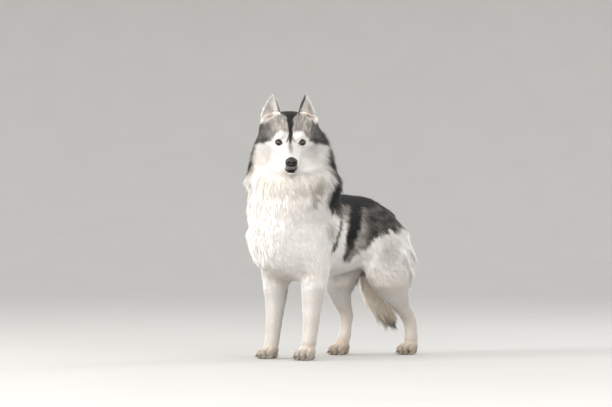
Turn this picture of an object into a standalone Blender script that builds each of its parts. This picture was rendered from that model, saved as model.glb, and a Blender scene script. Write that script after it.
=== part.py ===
"""A life-size Siberian husky, standing with its head turned to its left, as a museum model.

Metres, +Z up. The dog's breast points along -Y and its left side is +X. The solids are the
outer form of the coat. Body places are measured from the point on the floor midway between the
forepaws, and head places from the middle of the skull, as forward, left and up.
"""

import math

import bmesh
import bpy
import numpy as np
from mathutils import Matrix, Vector

# Driving dimensions
WITHERS_HEIGHT = 0.565
MIDDLE_OF_BOX = (0.0193, 0.2190)
PARTING = 0.0003
SKULL_PLACE = (0.080, -0.075, 0.729)
HEAD_TURN = math.radians(45.0)
HEAD_DIP = math.radians(24.0)
EYE_RADIUS = 0.0118
EYE_PLACE = (0.0455, 0.0380, 0.0065)
NOSE_PLACE = (0.1405, 0.0, -0.0270)
TOE_OUT = math.radians(7.0)
EAR_LEAN = -0.0045
FOREPAW = {"left": (0.080, 0.002), "right": (-0.080, -0.006)}
HINDPAW = {"left": (0.080, 0.534), "right": (-0.078, 0.354)}

# A point on the cut between neck and head, and the way to the head
NAPE_CUT = ((0.133, -0.128, 0.598), (0.36, -0.36, 1.0))

# Heights of the level joints of the legs
ELBOW, STIFLE, HOCK, ANKLE = 0.246, 0.252, 0.150, 0.058

# Fineness of the fused forms: voxel side, smoothing passes and triangles kept
BODY_GRAIN = (0.0050, 8, 2820)
PAW_GRAIN = (0.0034, 2, 350)

COLOURS = {
    "white_coat": ((0.86, 0.84, 0.80), 0.85),
    "grey_coat": ((0.23, 0.23, 0.23), 0.85),
    "cream_coat": ((0.72, 0.64, 0.54), 0.85),
    "nose_leather": ((0.02, 0.02, 0.022), 0.45),
    "eye": ((0.09, 0.04, 0.02), 0.1),
    "claw": ((0.03, 0.027, 0.025), 0.4),
}


def clear_scene():
    for old in list(bpy.data.objects):
        bpy.data.objects.remove(old)


def coat(name):
    """The material of that name, made once."""
    found = bpy.data.materials.get(name)
    if found:
        return found
    colour, roughness = COLOURS[name]
    made = bpy.data.materials.new(name)
    made.use_nodes = True
    shader = made.node_tree.nodes["Principled BSDF"]
    shader.inputs["Base Color"].default_value = (*colour, 1.0)
    shader.inputs["Roughness"].default_value = roughness
    return made


def curve_through(rows, steps):
    """A Catmull-Rom curve through rows of numbers, with so many steps from each row to the next."""
    rows = np.array(rows, float)
    ends = np.vstack([2 * rows[0] - rows[1], rows, 2 * rows[-1] - rows[-2]])
    t = np.linspace(0, 1, steps, endpoint=False)[:, None]
    spans = []
    for a, b, c, d in zip(ends, ends[1:], ends[2:], ends[3:]):
        bend = 2 * a - 5 * b + 4 * c - d
        twist = 3 * b - a - 3 * c + d
        spans.append(0.5 * (2 * b + (c - a) * t + bend * t**2 + twist * t**3))
    return np.vstack([*spans, rows[-1:]])


def loft(form, rows, wide, deep, sides=28, steps=6, roundness=2.0, matrix=None):
    """Adds a closed tube to form. Each row is a centre and two half sizes, along wide and deep.

    roundness is the exponent of the cross-section: 2 is an ellipse, and more is squarer.
    """
    wide, deep, matrix = Vector(wide), Vector(deep), matrix or Matrix()
    rings = []
    for x, y, z, half_wide, half_deep in curve_through(rows, steps):
        ring = []
        for k in range(sides):
            turn = 2 * math.pi * k / sides
            c, s = math.cos(turn), math.sin(turn)
            across = math.copysign(abs(c) ** (2 / roundness), c) * max(half_wide, 0.001)
            along = math.copysign(abs(s) ** (2 / roundness), s) * max(half_deep, 0.001)
            place = Vector((x, y, z)) + wide * across + deep * along
            ring.append(form.verts.new(matrix @ place))
        rings.append(ring)
    for one, two in zip(rings, rings[1:]):
        for k in range(sides):
            j = (k + 1) % sides
            form.faces.new((one[k], one[j], two[j], two[k]))
    form.faces.new(rings[0][::-1])
    form.faces.new(rings[-1])


def ball(form, place, radii, turn=None, segments=24):
    """Adds an ellipsoid to form."""
    matrix = Matrix.Translation(place) @ (turn or Matrix()) @ Matrix.Diagonal((*radii, 1.0))
    bmesh.ops.create_uvsphere(
        form, u_segments=segments, v_segments=segments // 2 + 2, radius=1.0, matrix=matrix
    )


def evaluated(form, modify):
    """The mesh that form becomes under the modifiers that modify(object) adds."""
    bmesh.ops.recalc_face_normals(form, faces=form.faces)
    mesh = bpy.data.meshes.new("form")
    form.to_mesh(mesh)
    form.free()
    holder = bpy.data.objects.new("form", mesh)
    bpy.context.scene.collection.objects.link(holder)
    modify(holder)
    bpy.context.view_layer.update()
    graph = bpy.context.evaluated_depsgraph_get()
    result = bmesh.new()
    result.from_mesh(bpy.data.meshes.new_from_object(holder.evaluated_get(graph)))
    bpy.data.objects.remove(holder)
    return result


def fused(form, grain):
    """The separate volumes in form as one smooth closed surface."""
    voxel, passes, triangles = grain

    def fuse(holder):
        remesh = holder.modifiers.new("Fuse", "REMESH")
        remesh.mode = "VOXEL"
        remesh.voxel_size = voxel
        smooth = holder.modifiers.new("Smooth", "SMOOTH")
        smooth.factor = 0.5
        smooth.iterations = passes

    fine = evaluated(form, fuse)

    def thin_out(holder):
        faces = sum(len(p.vertices) - 2 for p in holder.data.polygons)
        decimate = holder.modifiers.new("Thin out", "DECIMATE")
        decimate.ratio = triangles / faces

    coarse = evaluated(fine, thin_out)
    bmesh.ops.triangulate(coarse, faces=coarse.faces)
    return coarse


def parted(form, point, normal, rim_step=0.006):
    """(the side that normal points to, the other side) of form, each closed, a parting apart.

    Corners of the cut's rim that lie closer together than rim_step become one.
    """
    normal = Vector(normal).normalized()
    halves = []
    for way in (1, -1):
        half = form.copy()
        edge = Vector(point) + normal * way * PARTING / 2
        cut = bmesh.ops.bisect_plane(
            half,
            geom=[*half.verts, *half.edges, *half.faces],
            dist=1e-6,
            plane_co=edge,
            plane_no=normal * way,
            clear_inner=True,
        )
        corners = [v for v in cut["geom_cut"] if isinstance(v, bmesh.types.BMVert)]
        bmesh.ops.remove_doubles(half, verts=corners, dist=rim_step)
        rim = [e for e in half.edges if e.is_boundary]
        bmesh.ops.triangle_fill(half, edges=rim, use_beauty=True, normal=-normal * way)
        bmesh.ops.triangulate(half, faces=half.faces)
        bmesh.ops.recalc_face_normals(half, faces=half.faces)
        halves.append(half)
    form.free()
    return halves


def swollen(form, by=PARTING):
    """A copy of form grown outwards, to cut a neighbour clear of it."""
    copy = form.copy()
    copy.normal_update()
    for vertex in copy.verts:
        vertex.co += vertex.normal * by
    return copy


def less(form, *cutters):
    """form with the cutters taken away from it."""

    def cut(holder):
        for cutter in cutters:
            mesh = bpy.data.meshes.new("cutter")
            cutter.to_mesh(mesh)
            tool = bpy.data.objects.new("cutter", mesh)
            bpy.context.scene.collection.objects.link(tool)
            tool.hide_render = True
            boolean = holder.modifiers.new("Cut", "BOOLEAN")
            boolean.object = tool
            boolean.operation = "DIFFERENCE"

    return evaluated(form, cut)


def finished(form, matrix=None):
    """form moved by matrix, with its faces outward and cut into triangles."""
    bmesh.ops.transform(form, matrix=matrix or Matrix(), verts=form.verts)
    bmesh.ops.recalc_face_normals(form, faces=form.faces)
    bmesh.ops.triangulate(form, faces=form.faces)
    return form


def drop_cutters():
    for old in [o for o in bpy.data.objects if o.name.startswith("cutter")]:
        bpy.data.objects.remove(old)


def largest_body(form):
    """form with only its largest connected body kept."""
    unseen, bodies = set(form.verts), []
    while unseen:
        stack, body = [unseen.pop()], set()
        while stack:
            vertex = stack.pop()
            body.add(vertex)
            for edge in vertex.link_edges:
                other = edge.other_vert(vertex)
                if other in unseen:
                    unseen.remove(other)
                    stack.append(other)
        bodies.append(body)
    bodies.sort(key=len)
    for body in bodies[:-1]:
        bmesh.ops.delete(form, geom=list(body), context="VERTS")
    return form


def node(name, form, material):
    """The finished piece as a named object, moved so that the middle of its box is the origin."""
    bmesh.ops.translate(
        form, verts=form.verts, vec=(-MIDDLE_OF_BOX[0], -MIDDLE_OF_BOX[1], 0.0)
    )
    mesh = bpy.data.meshes.new(name)
    form.to_mesh(mesh)
    form.free()
    mesh.materials.append(coat(material))
    mesh.shade_smooth()
    made = bpy.data.objects.new(name, mesh)
    bpy.context.scene.collection.objects.link(made)
    return made


def head_matrix():
    """Carries forward, left and up of the skull into place: turned to the left, nose dipped."""
    turn, dip = HEAD_TURN, HEAD_DIP
    ahead = Vector((math.sin(turn), -math.cos(turn), 0.0))
    left = Vector((math.cos(turn), math.sin(turn), 0.0))
    forward = ahead * math.cos(dip) - Vector((0, 0, math.sin(dip)))
    up = forward.cross(left)
    matrix = Matrix((forward, left, up)).transposed().to_4x4()
    matrix.translation = SKULL_PLACE
    return matrix


HEAD = head_matrix()
ACROSS, ALONG, UPWARD = (1, 0, 0), (0, 1, 0), (0, 0, 1)


def head_loft(form, rows, **options):
    """A loft along the head's length, each row being forward, top, bottom and half width."""
    rows = [(f, 0, (top + low) / 2, wide, (top - low) / 2) for f, top, low, wide in rows]
    loft(form, rows, ALONG, UPWARD, matrix=HEAD, **options)


def head_ball(form, place, radii, **options):
    ball(form, HEAD @ Vector(place), radii, HEAD.to_3x3().to_4x4(), **options)


def add_neck(form):
    """The neck in its ruff: upright from the shoulders, then set behind the turned head."""
    lower = [
        (0.000, 0.026, 0.400, 0.104, 0.130),
        (0.000, 0.022, 0.455, 0.122, 0.150),
        (0.000, 0.022, 0.510, 0.138, 0.152),
        (0.006, 0.022, 0.564, 0.146, 0.152),
        (0.022, 0.002, 0.610, 0.148, 0.140),
        (0.026, 0.000, 0.645, 0.126, 0.120),
        (0.028, 0.000, 0.670, 0.080, 0.080),
    ]
    loft(form, lower, ACROSS, ALONG)
    upper = [
        (-0.085, 0.008, 0.570, 0.110, 0.080),
        (-0.085, 0.008, 0.600, 0.146, 0.110),
        (-0.092, 0.008, 0.640, 0.143, 0.100),
        (-0.090, 0.008, 0.680, 0.138, 0.088),
        (-0.080, 0.008, 0.720, 0.127, 0.074),
        (-0.068, 0.006, 0.755, 0.108, 0.058),
        (-0.058, 0.004, 0.785, 0.072, 0.040),
    ]
    upright = Matrix.Translation((SKULL_PLACE[0], SKULL_PLACE[1], 0.0))
    upright = upright @ Matrix.Rotation(HEAD_TURN - math.pi / 2, 4, "Z")
    loft(form, upper, ALONG, ACROSS, matrix=upright)


def add_trunk(form):
    """The trunk from the breast to the buttocks: place along the back, top, underline, half width."""
    top = WITHERS_HEIGHT
    trunk = [
        (-0.146, top - 0.122, 0.385, 0.016),
        (-0.132, top - 0.085, 0.345, 0.048),
        (-0.098, top - 0.050, 0.305, 0.084),
        (-0.048, top - 0.022, 0.274, 0.112),
        (0.010, top - 0.006, 0.258, 0.124),
        (0.077, top + 0.014, 0.254, 0.126),
        (0.155, top + 0.006, 0.260, 0.124),
        (0.232, top - 0.005, 0.271, 0.119),
        (0.300, top - 0.007, 0.288, 0.112),
        (0.358, top - 0.009, 0.310, 0.108),
        (0.416, top - 0.020, 0.335, 0.102),
        (0.460, top - 0.046, 0.362, 0.086),
        (0.488, top - 0.090, 0.392, 0.050),
    ]
    rows = [(0, y, (high + low) / 2, wide, (high - low) / 2) for y, high, low, wide in trunk]
    loft(form, rows, ACROSS, UPWARD, sides=36, roundness=2.2)


def foreleg_rows(side):
    """Shoulder, upper arm, forearm and pastern as level sections, from the top down."""
    sign = 1 if side == "left" else -1
    x, y = FOREPAW[side]
    elbow = y + (0.043 if side == "left" else 0.036)
    return [
        (x - sign * 0.020, y + 0.030, 0.500, 0.040, 0.062),
        (x - sign * 0.010, y + 0.018, 0.440, 0.056, 0.088),
        (x - sign * 0.004, y + 0.026, 0.370, 0.057, 0.084),
        (x, elbow, 0.305, 0.049, 0.062),
        (x, elbow, 0.250, 0.042, 0.051),
        (x, y + 0.036, 0.197, 0.036, 0.043),
        (x, y + 0.030, 0.150, 0.031, 0.036),
        (x, y + 0.027, 0.110, 0.029, 0.032),
        (x, y + 0.020, 0.072, 0.027, 0.030),
        (x, y + 0.010, 0.040, 0.027, 0.030),
    ]


def hindleg_rows(side):
    """Thigh with its breeches, shank, hock and pastern. The left leg is stretched back."""
    if side == "left":
        return [
            (0.050, 0.390, 0.520, 0.038, 0.070),
            (0.062, 0.396, 0.455, 0.056, 0.104),
            (0.073, 0.404, 0.385, 0.060, 0.122),
            (0.080, 0.411, 0.320, 0.056, 0.122),
            (0.083, 0.420, 0.272, 0.049, 0.105),
            (0.083, 0.440, 0.228, 0.041, 0.083),
            (0.081, 0.474, 0.180, 0.033, 0.058),
            (0.080, 0.528, 0.136, 0.026, 0.040),
            (0.079, 0.552, 0.095, 0.025, 0.029),
            (0.080, 0.552, 0.060, 0.025, 0.029),
            (0.080, 0.543, 0.035, 0.026, 0.030),
        ]
    return [
        (-0.050, 0.385, 0.520, 0.038, 0.068),
        (-0.062, 0.385, 0.455, 0.056, 0.102),
        (-0.073, 0.378, 0.385, 0.060, 0.112),
        (-0.079, 0.366, 0.320, 0.055, 0.102),
        (-0.081, 0.352, 0.268, 0.046, 0.078),
        (-0.080, 0.350, 0.225, 0.038, 0.058),
        (-0.079, 0.366, 0.178, 0.031, 0.042),
        (-0.078, 0.388, 0.138, 0.025, 0.031),
        (-0.078, 0.387, 0.095, 0.024, 0.026),
        (-0.078, 0.379, 0.060, 0.025, 0.027),
        (-0.078, 0.366, 0.035, 0.026, 0.030),
    ]


LEG_ROWS = {"fore": foreleg_rows, "hind": hindleg_rows}


def add_head(form):
    """Skull, cheeks with their ruffs, muzzle, jaw and brows."""
    skull = [
        (-0.118, 0.030, -0.030, 0.030),
        (-0.104, 0.056, -0.050, 0.066),
        (-0.078, 0.073, -0.066, 0.093),
        (-0.044, 0.080, -0.074, 0.104),
        (-0.012, 0.078, -0.072, 0.098),
        (0.016, 0.064, -0.066, 0.081),
        (0.038, 0.042, -0.060, 0.061),
        (0.054, 0.022, -0.052, 0.047),
        (0.066, 0.006, -0.046, 0.034),
    ]
    cheeks = [
        (-0.110, 0.020, -0.070, 0.060),
        (-0.085, 0.034, -0.094, 0.098),
        (-0.050, 0.034, -0.100, 0.111),
        (-0.020, 0.024, -0.098, 0.102),
        (0.010, 0.008, -0.092, 0.082),
        (0.036, -0.010, -0.086, 0.060),
        (0.060, -0.024, -0.080, 0.042),
    ]
    muzzle = [
        (0.030, 0.010, -0.064, 0.046),
        (0.058, 0.004, -0.063, 0.040),
        (0.085, -0.003, -0.061, 0.0345),
        (0.108, -0.009, -0.060, 0.0305),
        (0.128, -0.013, -0.059, 0.0270),
        (0.141, -0.018, -0.056, 0.0210),
        (0.147, -0.028, -0.050, 0.0110),
    ]
    jaw = [
        (-0.040, -0.045, -0.092, 0.056),
        (0.010, -0.045, -0.089, 0.046),
        (0.050, -0.045, -0.084, 0.034),
        (0.090, -0.048, -0.080, 0.026),
        (0.112, -0.050, -0.077, 0.021),
        (0.124, -0.052, -0.069, 0.012),
    ]
    head_loft(form, skull, roundness=2.2)
    head_loft(form, cheeks, roundness=1.8)
    head_loft(form, muzzle, roundness=2.3)
    head_loft(form, jaw)
    for way in (1, -1):
        head_ball(form, (0.030, 0.031 * way, 0.028), (0.024, 0.026, 0.018))


def body_form():
    """Everything but ears, nose, eyes, tail and paws, as one form."""
    form = bmesh.new()
    add_trunk(form)
    add_neck(form)
    add_head(form)
    for side in ("left", "right"):
        loft(form, foreleg_rows(side), ACROSS, ALONG)
        loft(form, hindleg_rows(side), ACROSS, ALONG)
    return fused(form, BODY_GRAIN)


def bowed(start, end, bulge, t):
    """The point at t on a line from start to end that bows out by bulge in its middle."""
    return start.lerp(end, t) + bulge * (4 * t * (1 - t))


def ear_form(side):
    """A cupped, round-tipped triangle of hide, open to the front, rooted in the skull's corner."""
    way = 1 if side == "left" else -1
    inner, outer = Vector((-0.022, 0.0260 * way, 0.066)), Vector((-0.040, 0.1030 * way, 0.010))
    inner_top = Vector((-0.050, 0.0510 * way + EAR_LEAN, 0.1315))
    outer_top = Vector((-0.050, 0.0590 * way + EAR_LEAN, 0.1305))
    rows, columns, wall = 7, 6, 0.0055
    grid = []
    for i in range(rows + 1):
        t = i / rows
        near = bowed(inner, inner_top, Vector((0, -0.003 * way, 0.001)), t)
        far = bowed(outer, outer_top, Vector((0, 0.007 * way, 0.003)), t)
        row = []
        for j in range(columns + 1):
            v = j / columns
            place = near.lerp(far, v)
            place.x -= 0.030 * (1 - t) ** 0.8 * 4 * v * (1 - v)
            place.z += 0.0035 * t**4 * 4 * v * (1 - v)
            row.append(place)
        grid.append(row)
    form = bmesh.new()
    front = [[form.verts.new(p) for p in row] for row in grid]
    back = [[form.verts.new(p - Vector((wall, 0, 0))) for p in row] for row in grid]
    for i in range(rows):
        for j in range(columns):
            form.faces.new((front[i][j], front[i][j + 1], front[i + 1][j + 1], front[i + 1][j]))
            form.faces.new((back[i][j], back[i + 1][j], back[i + 1][j + 1], back[i][j + 1]))
    rim = [(i, 0) for i in range(rows)] + [(rows, j) for j in range(columns)]
    rim += [(i, columns) for i in range(rows, 0, -1)] + [(0, j) for j in range(columns, 0, -1)]
    for (a, b), (c, d) in zip(rim, rim[1:] + rim[:1]):
        form.faces.new((front[a][b], front[c][d], back[c][d], back[a][b]))
    return finished(form, HEAD)


def nose_form():
    form = bmesh.new()
    head_ball(form, NOSE_PLACE, (0.0140, 0.0185, 0.0150), segments=14)
    return finished(form)


def eye_form(way):
    form = bmesh.new()
    forward, left, up = EYE_PLACE
    head_ball(form, (forward, left * way, up), (EYE_RADIUS,) * 3, segments=14)
    return finished(form)


def tail_form():
    """The brush of the tail, hanging behind the thighs and swung back at its end."""
    tail = [
        (0.000, 0.455, 0.515, 0.022, 0.022),
        (-0.004, 0.492, 0.478, 0.034, 0.032),
        (-0.018, 0.512, 0.410, 0.042, 0.038),
        (-0.036, 0.510, 0.330, 0.046, 0.042),
        (-0.054, 0.505, 0.260, 0.046, 0.042),
        (-0.060, 0.528, 0.200, 0.044, 0.041),
        (-0.056, 0.562, 0.150, 0.038, 0.037),
        (-0.049, 0.586, 0.115, 0.026, 0.026),
        (-0.044, 0.600, 0.095, 0.009, 0.011),
    ]
    form = bmesh.new()
    loft(form, tail, ACROSS, ALONG, sides=13, steps=2)
    return finished(form)


def toe_places(place, side):
    """For each of the four toes, from the inner one out: its middle and its way forward."""
    x, y = place
    out = 1 if side == "left" else -1
    turn = Matrix.Rotation(TOE_OUT * out, 3, "Z")
    for step, ahead in ((-1.5, 0.012), (-0.5, 0.0225), (0.5, 0.0225), (1.5, 0.012)):
        splay = math.radians(6.0) * step * out
        middle = turn @ Vector((step * 0.0168 * out, -ahead, 0.0190))
        forward = turn @ Vector((math.sin(splay), -math.cos(splay), 0.0))
        yield middle + Vector((x, y, 0)), forward


def paw_form(kind, side, place):
    """A paw of four arched toes under the end of its leg, trimmed flat where it stands."""
    x, y = place
    form = bmesh.new()
    ball(form, (x, y + 0.010, 0.028), (0.031, 0.033, 0.027))
    ball(form, (x, y + 0.020, 0.012), (0.024, 0.020, 0.014))
    for middle, ahead in toe_places(place, side):
        turn = ahead.to_track_quat("X", "Z").to_matrix().to_4x4()
        ball(form, middle, (0.0195, 0.0102, 0.0165), turn)
        knuckle = middle - ahead * 0.015 + Vector((0, 0, 0.007))
        ball(form, knuckle, (0.018, 0.0105, 0.0165), turn)
        pad = middle + ahead * 0.003 - Vector((0, 0, 0.0115))
        ball(form, pad, (0.0135, 0.0090, 0.0090), turn)
    ankle = [row for row in LEG_ROWS[kind](side) if row[2] < 0.14]
    loft(form, ankle, ACROSS, ALONG, sides=20)
    standing, below = parted(fused(form, PAW_GRAIN), (0, 0, 0), UPWARD)
    below.free()
    bmesh.ops.translate(standing, verts=standing.verts, vec=(0, 0, -PARTING / 2))
    return standing


def claw_form(middle, ahead):
    """A short curved claw, thick where it leaves the toe and blunt at its point."""
    form = bmesh.new()
    claw = []
    for k in range(4):
        share = k / 3
        place = middle + ahead * (0.010 + 0.0165 * share)
        place.z = 0.0135 - 0.0080 * share**1.6
        radius = 0.0034 * (1 - share) ** 0.6 + 0.0009
        claw.append((*place, radius, radius * 1.3))
    loft(form, claw, ahead.cross(Vector(UPWARD)), UPWARD, sides=6, steps=1)
    return finished(form)


def build_head(whole):
    """Parts the head at the root of the muzzle and along the lips, and adds what sits on it."""
    ears = {}
    clear_of_head = swollen(whole)
    for side in ("left", "right"):
        ears[side] = largest_body(less(ear_form(side), clear_of_head))
    forward = HEAD.to_3x3() @ Vector((1, 0, 0))
    face, skull = parted(whole, HEAD @ Vector((0.064, 0, 0)), forward)
    lip_line = HEAD.to_3x3() @ Vector((-0.06, 0, 1))
    muzzle, jaw = parted(face, HEAD @ Vector((0.100, 0, -0.056)), lip_line)
    eyes = {"left": eye_form(1), "right": eye_form(-1)}
    skull = less(skull, *[swollen(eye) for eye in eyes.values()])
    nose = nose_form()
    muzzle = less(muzzle, swollen(nose))
    node("head", skull, "white_coat")
    node("muzzle", muzzle, "white_coat")
    node("lower_jaw", jaw, "white_coat")
    node("nose", nose, "nose_leather")
    for side in ("left", "right"):
        node(f"eye_{side}", eyes[side], "eye")
        node(f"ear_{side}", ears[side], "grey_coat")


def build_paw(kind, side, place):
    """The paw under its leg, with its four claws."""
    upper, paw = parted(paw_form(kind, side, place), (0, 0, ANKLE), UPWARD)
    upper.free()
    clear_of_paw = swollen(paw)
    for k, toe in enumerate(toe_places(place, side), start=1):
        tip = largest_body(less(claw_form(*toe), clear_of_paw))
        node(f"claw_{kind}_{side}_{k}", tip, "claw")
    node(f"{kind}paw_{side}", paw, "white_coat")


def build_body(body):
    """Parts the body at its collar, ribs, flank, shoulders and thighs, and its legs' joints."""
    neck, trunk = parted(body, (0.0, 0.02, 0.530), (0.05, -0.45, 0.9))
    node("neck", neck, "white_coat")
    rear, front = parted(trunk, (0, 0.150, 0.45), (0, 1, 0))
    front, forelegs = parted(front, (0, 0, ELBOW), UPWARD)
    rear, hindlegs = parted(rear, (0, 0, STIFLE), UPWARD)
    hind, loin = parted(rear, (0, 0.280, 0.40), (0, 1, -0.15))
    node("abdomen", loin, "grey_coat")
    sides = ("left", "right")
    forearms = dict(zip(sides, parted(forelegs, (0, 0, 0), ACROSS)))
    shanks = dict(zip(sides, parted(hindlegs, (0, 0, 0), ACROSS)))
    by_the_tail = []
    for side, sign in zip(sides, (1, -1)):
        shoulder, front = parted(front, (0.052 * sign, 0, 0.360), (0.9 * sign, 0, -0.25))
        node(f"shoulder_{side}", shoulder, "white_coat")
        thigh, hind = parted(hind, (0.040 * sign, 0, 0.400), (0.9 * sign, 0, -0.30))
        by_the_tail.append(swollen(thigh))
        node(f"thigh_{side}", thigh, "white_coat")
        forearm, below = parted(forearms[side], (0, 0, ANKLE), UPWARD)
        below.free()
        node(f"forearm_{side}", forearm, "white_coat")
        shank, lower = parted(shanks[side], (0, 0, HOCK), UPWARD)
        pastern, below = parted(lower, (0, 0, ANKLE), UPWARD)
        below.free()
        node(f"shank_{side}", shank, "white_coat")
        node(f"hind_pastern_{side}", pastern, "white_coat")
        build_paw("fore", side, FOREPAW[side])
        build_paw("hind", side, HINDPAW[side])
    node("chest", front, "white_coat")
    tail = less(tail_form(), swollen(hind), *by_the_tail)
    node("tail", largest_body(tail), "cream_coat")
    node("rump", hind, "grey_coat")


def build_dog():
    clear_scene()
    head, body = parted(body_form(), NAPE_CUT[0], NAPE_CUT[1])
    build_head(head)
    build_body(body)
    drop_cutters()


build_dog()
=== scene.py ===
"""The looks of a life-size Siberian husky, standing with its head turned to its left.

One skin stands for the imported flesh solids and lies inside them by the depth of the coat. The
coat is many thin solid tufts rooted in that skin. Eyes, nose leather, claws and whiskers are
pieces of their own. Metres, +Z up, the breast towards -Y and the left side towards +X.
"""

import math

import bmesh
import bpy
import numpy as np
from mathutils import Matrix, Vector
from mathutils.bvhtree import BVHTree


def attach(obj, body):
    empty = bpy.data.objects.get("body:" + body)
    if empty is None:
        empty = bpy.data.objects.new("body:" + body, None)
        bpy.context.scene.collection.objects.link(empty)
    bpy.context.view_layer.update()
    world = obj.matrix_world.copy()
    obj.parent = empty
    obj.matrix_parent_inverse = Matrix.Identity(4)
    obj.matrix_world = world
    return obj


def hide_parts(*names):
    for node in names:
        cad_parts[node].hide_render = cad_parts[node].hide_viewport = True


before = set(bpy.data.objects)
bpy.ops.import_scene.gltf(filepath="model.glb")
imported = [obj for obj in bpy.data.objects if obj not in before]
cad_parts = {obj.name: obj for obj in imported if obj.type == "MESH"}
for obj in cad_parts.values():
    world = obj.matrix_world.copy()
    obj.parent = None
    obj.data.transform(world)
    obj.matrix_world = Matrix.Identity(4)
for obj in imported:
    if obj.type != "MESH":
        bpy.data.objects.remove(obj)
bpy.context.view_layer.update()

SEED = 11

# The point between the forepaws that body places are measured from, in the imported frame
BETWEEN_PAWS = np.array((-0.0193, -0.2190, 0.0))
SKULL_PLACE = Vector((0.080, -0.075, 0.729)) + Vector(BETWEEN_PAWS)
HEAD_TURN = math.radians(45.0)
HEAD_DIP = math.radians(24.0)

# Eye and nose, as forward, left and up of the middle of the skull
EYE_RADIUS = 0.0118
EYE_PLACE = (0.0455, 0.0380, 0.0065)
NOSE_PLACE = np.array((0.1385, 0.0, -0.0245))
NOSE_RADII = np.array((0.0130, 0.0182, 0.0160))

# How far the paws turn out, the gap between toes, and where each paw stands
TOE_OUT = math.radians(7.0)
TOE_SPACING = 0.0168
PAWS = {
    ("fore", "left"): (0.080, 0.002),
    ("fore", "right"): (-0.080, -0.006),
    ("hind", "left"): (0.080, 0.534),
    ("hind", "right"): (-0.078, 0.354),
}

# The middle line of the tail from its root to its tip
TAIL_LINE = [
    (0.000, 0.455, 0.515),
    (-0.004, 0.492, 0.478),
    (-0.018, 0.512, 0.410),
    (-0.036, 0.510, 0.330),
    (-0.054, 0.505, 0.260),
    (-0.060, 0.528, 0.200),
    (-0.056, 0.562, 0.150),
    (-0.049, 0.586, 0.115),
    (-0.044, 0.600, 0.095),
]

# For each flesh node: how deep the skin lies under it, and of its hairs the length, the lift at
# the root in degrees, the width and the spacing. All lengths are in millimetres.
COAT = {
    "neck": (12.5, 44, 33, 1.9, 2.95),
    "chest": (11, 40, 28, 1.9, 3.05),
    "abdomen": (11, 35, 25, 1.9, 3.1),
    "rump": (13, 32, 24, 1.9, 3.0),
    "tail": (15, 50, 36, 2.0, 3.0),
    "shoulder": (8, 26, 25, 1.8, 2.95),
    "thigh": (9.5, 33, 28, 1.9, 3.0),
    "forearm": (4.5, 12, 25, 1.2, 2.0),
    "shank": (5.5, 16, 26, 1.3, 2.1),
    "hind_pastern": (3.6, 10, 25, 1.2, 1.95),
    "forepaw": (1.0, 6.5, 24, 1.0, 1.6),
    "hindpaw": (1.0, 6.5, 24, 1.0, 1.6),
    "head": (5.0, 13, 24, 1.15, 1.85),
    "muzzle": (2.4, 6.0, 22, 0.8, 1.35),
    "lower_jaw": (2.6, 7, 23, 0.9, 1.45),
    "ear": (0.8, 8, 24, 0.9, 1.5),
}


def head_matrix():
    """Carries forward, left and up of the skull into place: turned to the left, nose dipped."""
    ahead = Vector((math.sin(HEAD_TURN), -math.cos(HEAD_TURN), 0.0))
    left = Vector((math.cos(HEAD_TURN), math.sin(HEAD_TURN), 0.0))
    forward = ahead * math.cos(HEAD_DIP) - Vector((0, 0, math.sin(HEAD_DIP)))
    matrix = Matrix((forward, left, forward.cross(left))).transposed().to_4x4()
    matrix.translation = SKULL_PLACE
    return matrix


HEAD = head_matrix()
HEAD_AXES = np.array(HEAD.to_3x3())
HEAD_ORIGIN = np.array(SKULL_PLACE)


def to_head(places):
    """Places as forward, left and up of the middle of the skull."""
    return (places - HEAD_ORIGIN) @ HEAD_AXES


def from_head(ways):
    """Directions given as forward, left and up of the skull, in the frame."""
    return ways @ HEAD_AXES.T


def to_frame(local):
    """Places given as forward, left and up of the middle of the skull, in the frame."""
    return from_head(local) + HEAD_ORIGIN


def step(low, high, value):
    """0 below low and 1 above high, with a smooth rise between. low may be the larger."""
    t = np.clip((value - low) / (high - low), 0, 1)
    return t * t * (3 - 2 * t)


def bump(value, middle, half, soft):
    """1 within half of middle, and 0 from soft beyond that."""
    return step(half + soft, half, np.abs(value - middle))


def between(points, value):
    """A graph of straight pieces through (value, result) points, level past its ends."""
    points = np.array(points, float)
    return np.interp(value, points[:, 0], points[:, 1])


def spot(places, middle, reach):
    """1 at middle, falling to 0 at reach from it along each axis."""
    span = (places - np.array(middle)) / np.array(reach)
    return np.clip(1 - (span**2).sum(axis=1), 0, 1)


def greatest(*values):
    """Place by place, the greatest of several values."""
    return np.maximum.reduce(values)


def unit(ways):
    """Directions of length 1."""
    return ways / np.maximum(np.linalg.norm(ways, axis=-1, keepdims=True), 1e-9)


def mixed(a, b, share):
    """From a to b by a share of 0 to 1 for each place."""
    return a + (b - a) * share[..., None]


def ripple(places, size, seed):
    """Smooth noise, mostly from -1 to 1, whose bumps are about size across."""
    draw = np.random.default_rng(seed)
    total = np.zeros(len(places))
    for _ in range(8):
        way = unit(draw.normal(size=3)) * 2 * math.pi / size * draw.uniform(0.55, 1.5)
        total += np.sin(places @ way + draw.uniform(0, 2 * math.pi))
    return total / 2.8


def kind_of(node):
    """The row of COAT that a flesh node takes."""
    for kind in COAT:
        if node == kind or node.rsplit("_", 1)[0] == kind:
            return kind
    return None


FLESH = {name: kind_of(name) for name in sorted(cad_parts) if kind_of(name)}
KINDS = list(COAT)


# Camera, light and floor


def add_camera():
    """A long lens, level with the breast, ahead of the dog and to its left."""
    data = bpy.data.cameras.new("camera")
    data.lens = 135.0
    data.sensor_width = 36.0
    data.clip_end = 100.0
    camera = bpy.data.objects.new("camera", data)
    camera.location = (5.1447, -5.8610, 0.387)
    camera.rotation_euler = (math.radians(90.99), 0.0, math.radians(42.0))
    bpy.context.scene.collection.objects.link(camera)
    bpy.context.scene.camera = camera
    bpy.context.scene.view_settings.view_transform = "Standard"


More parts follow.
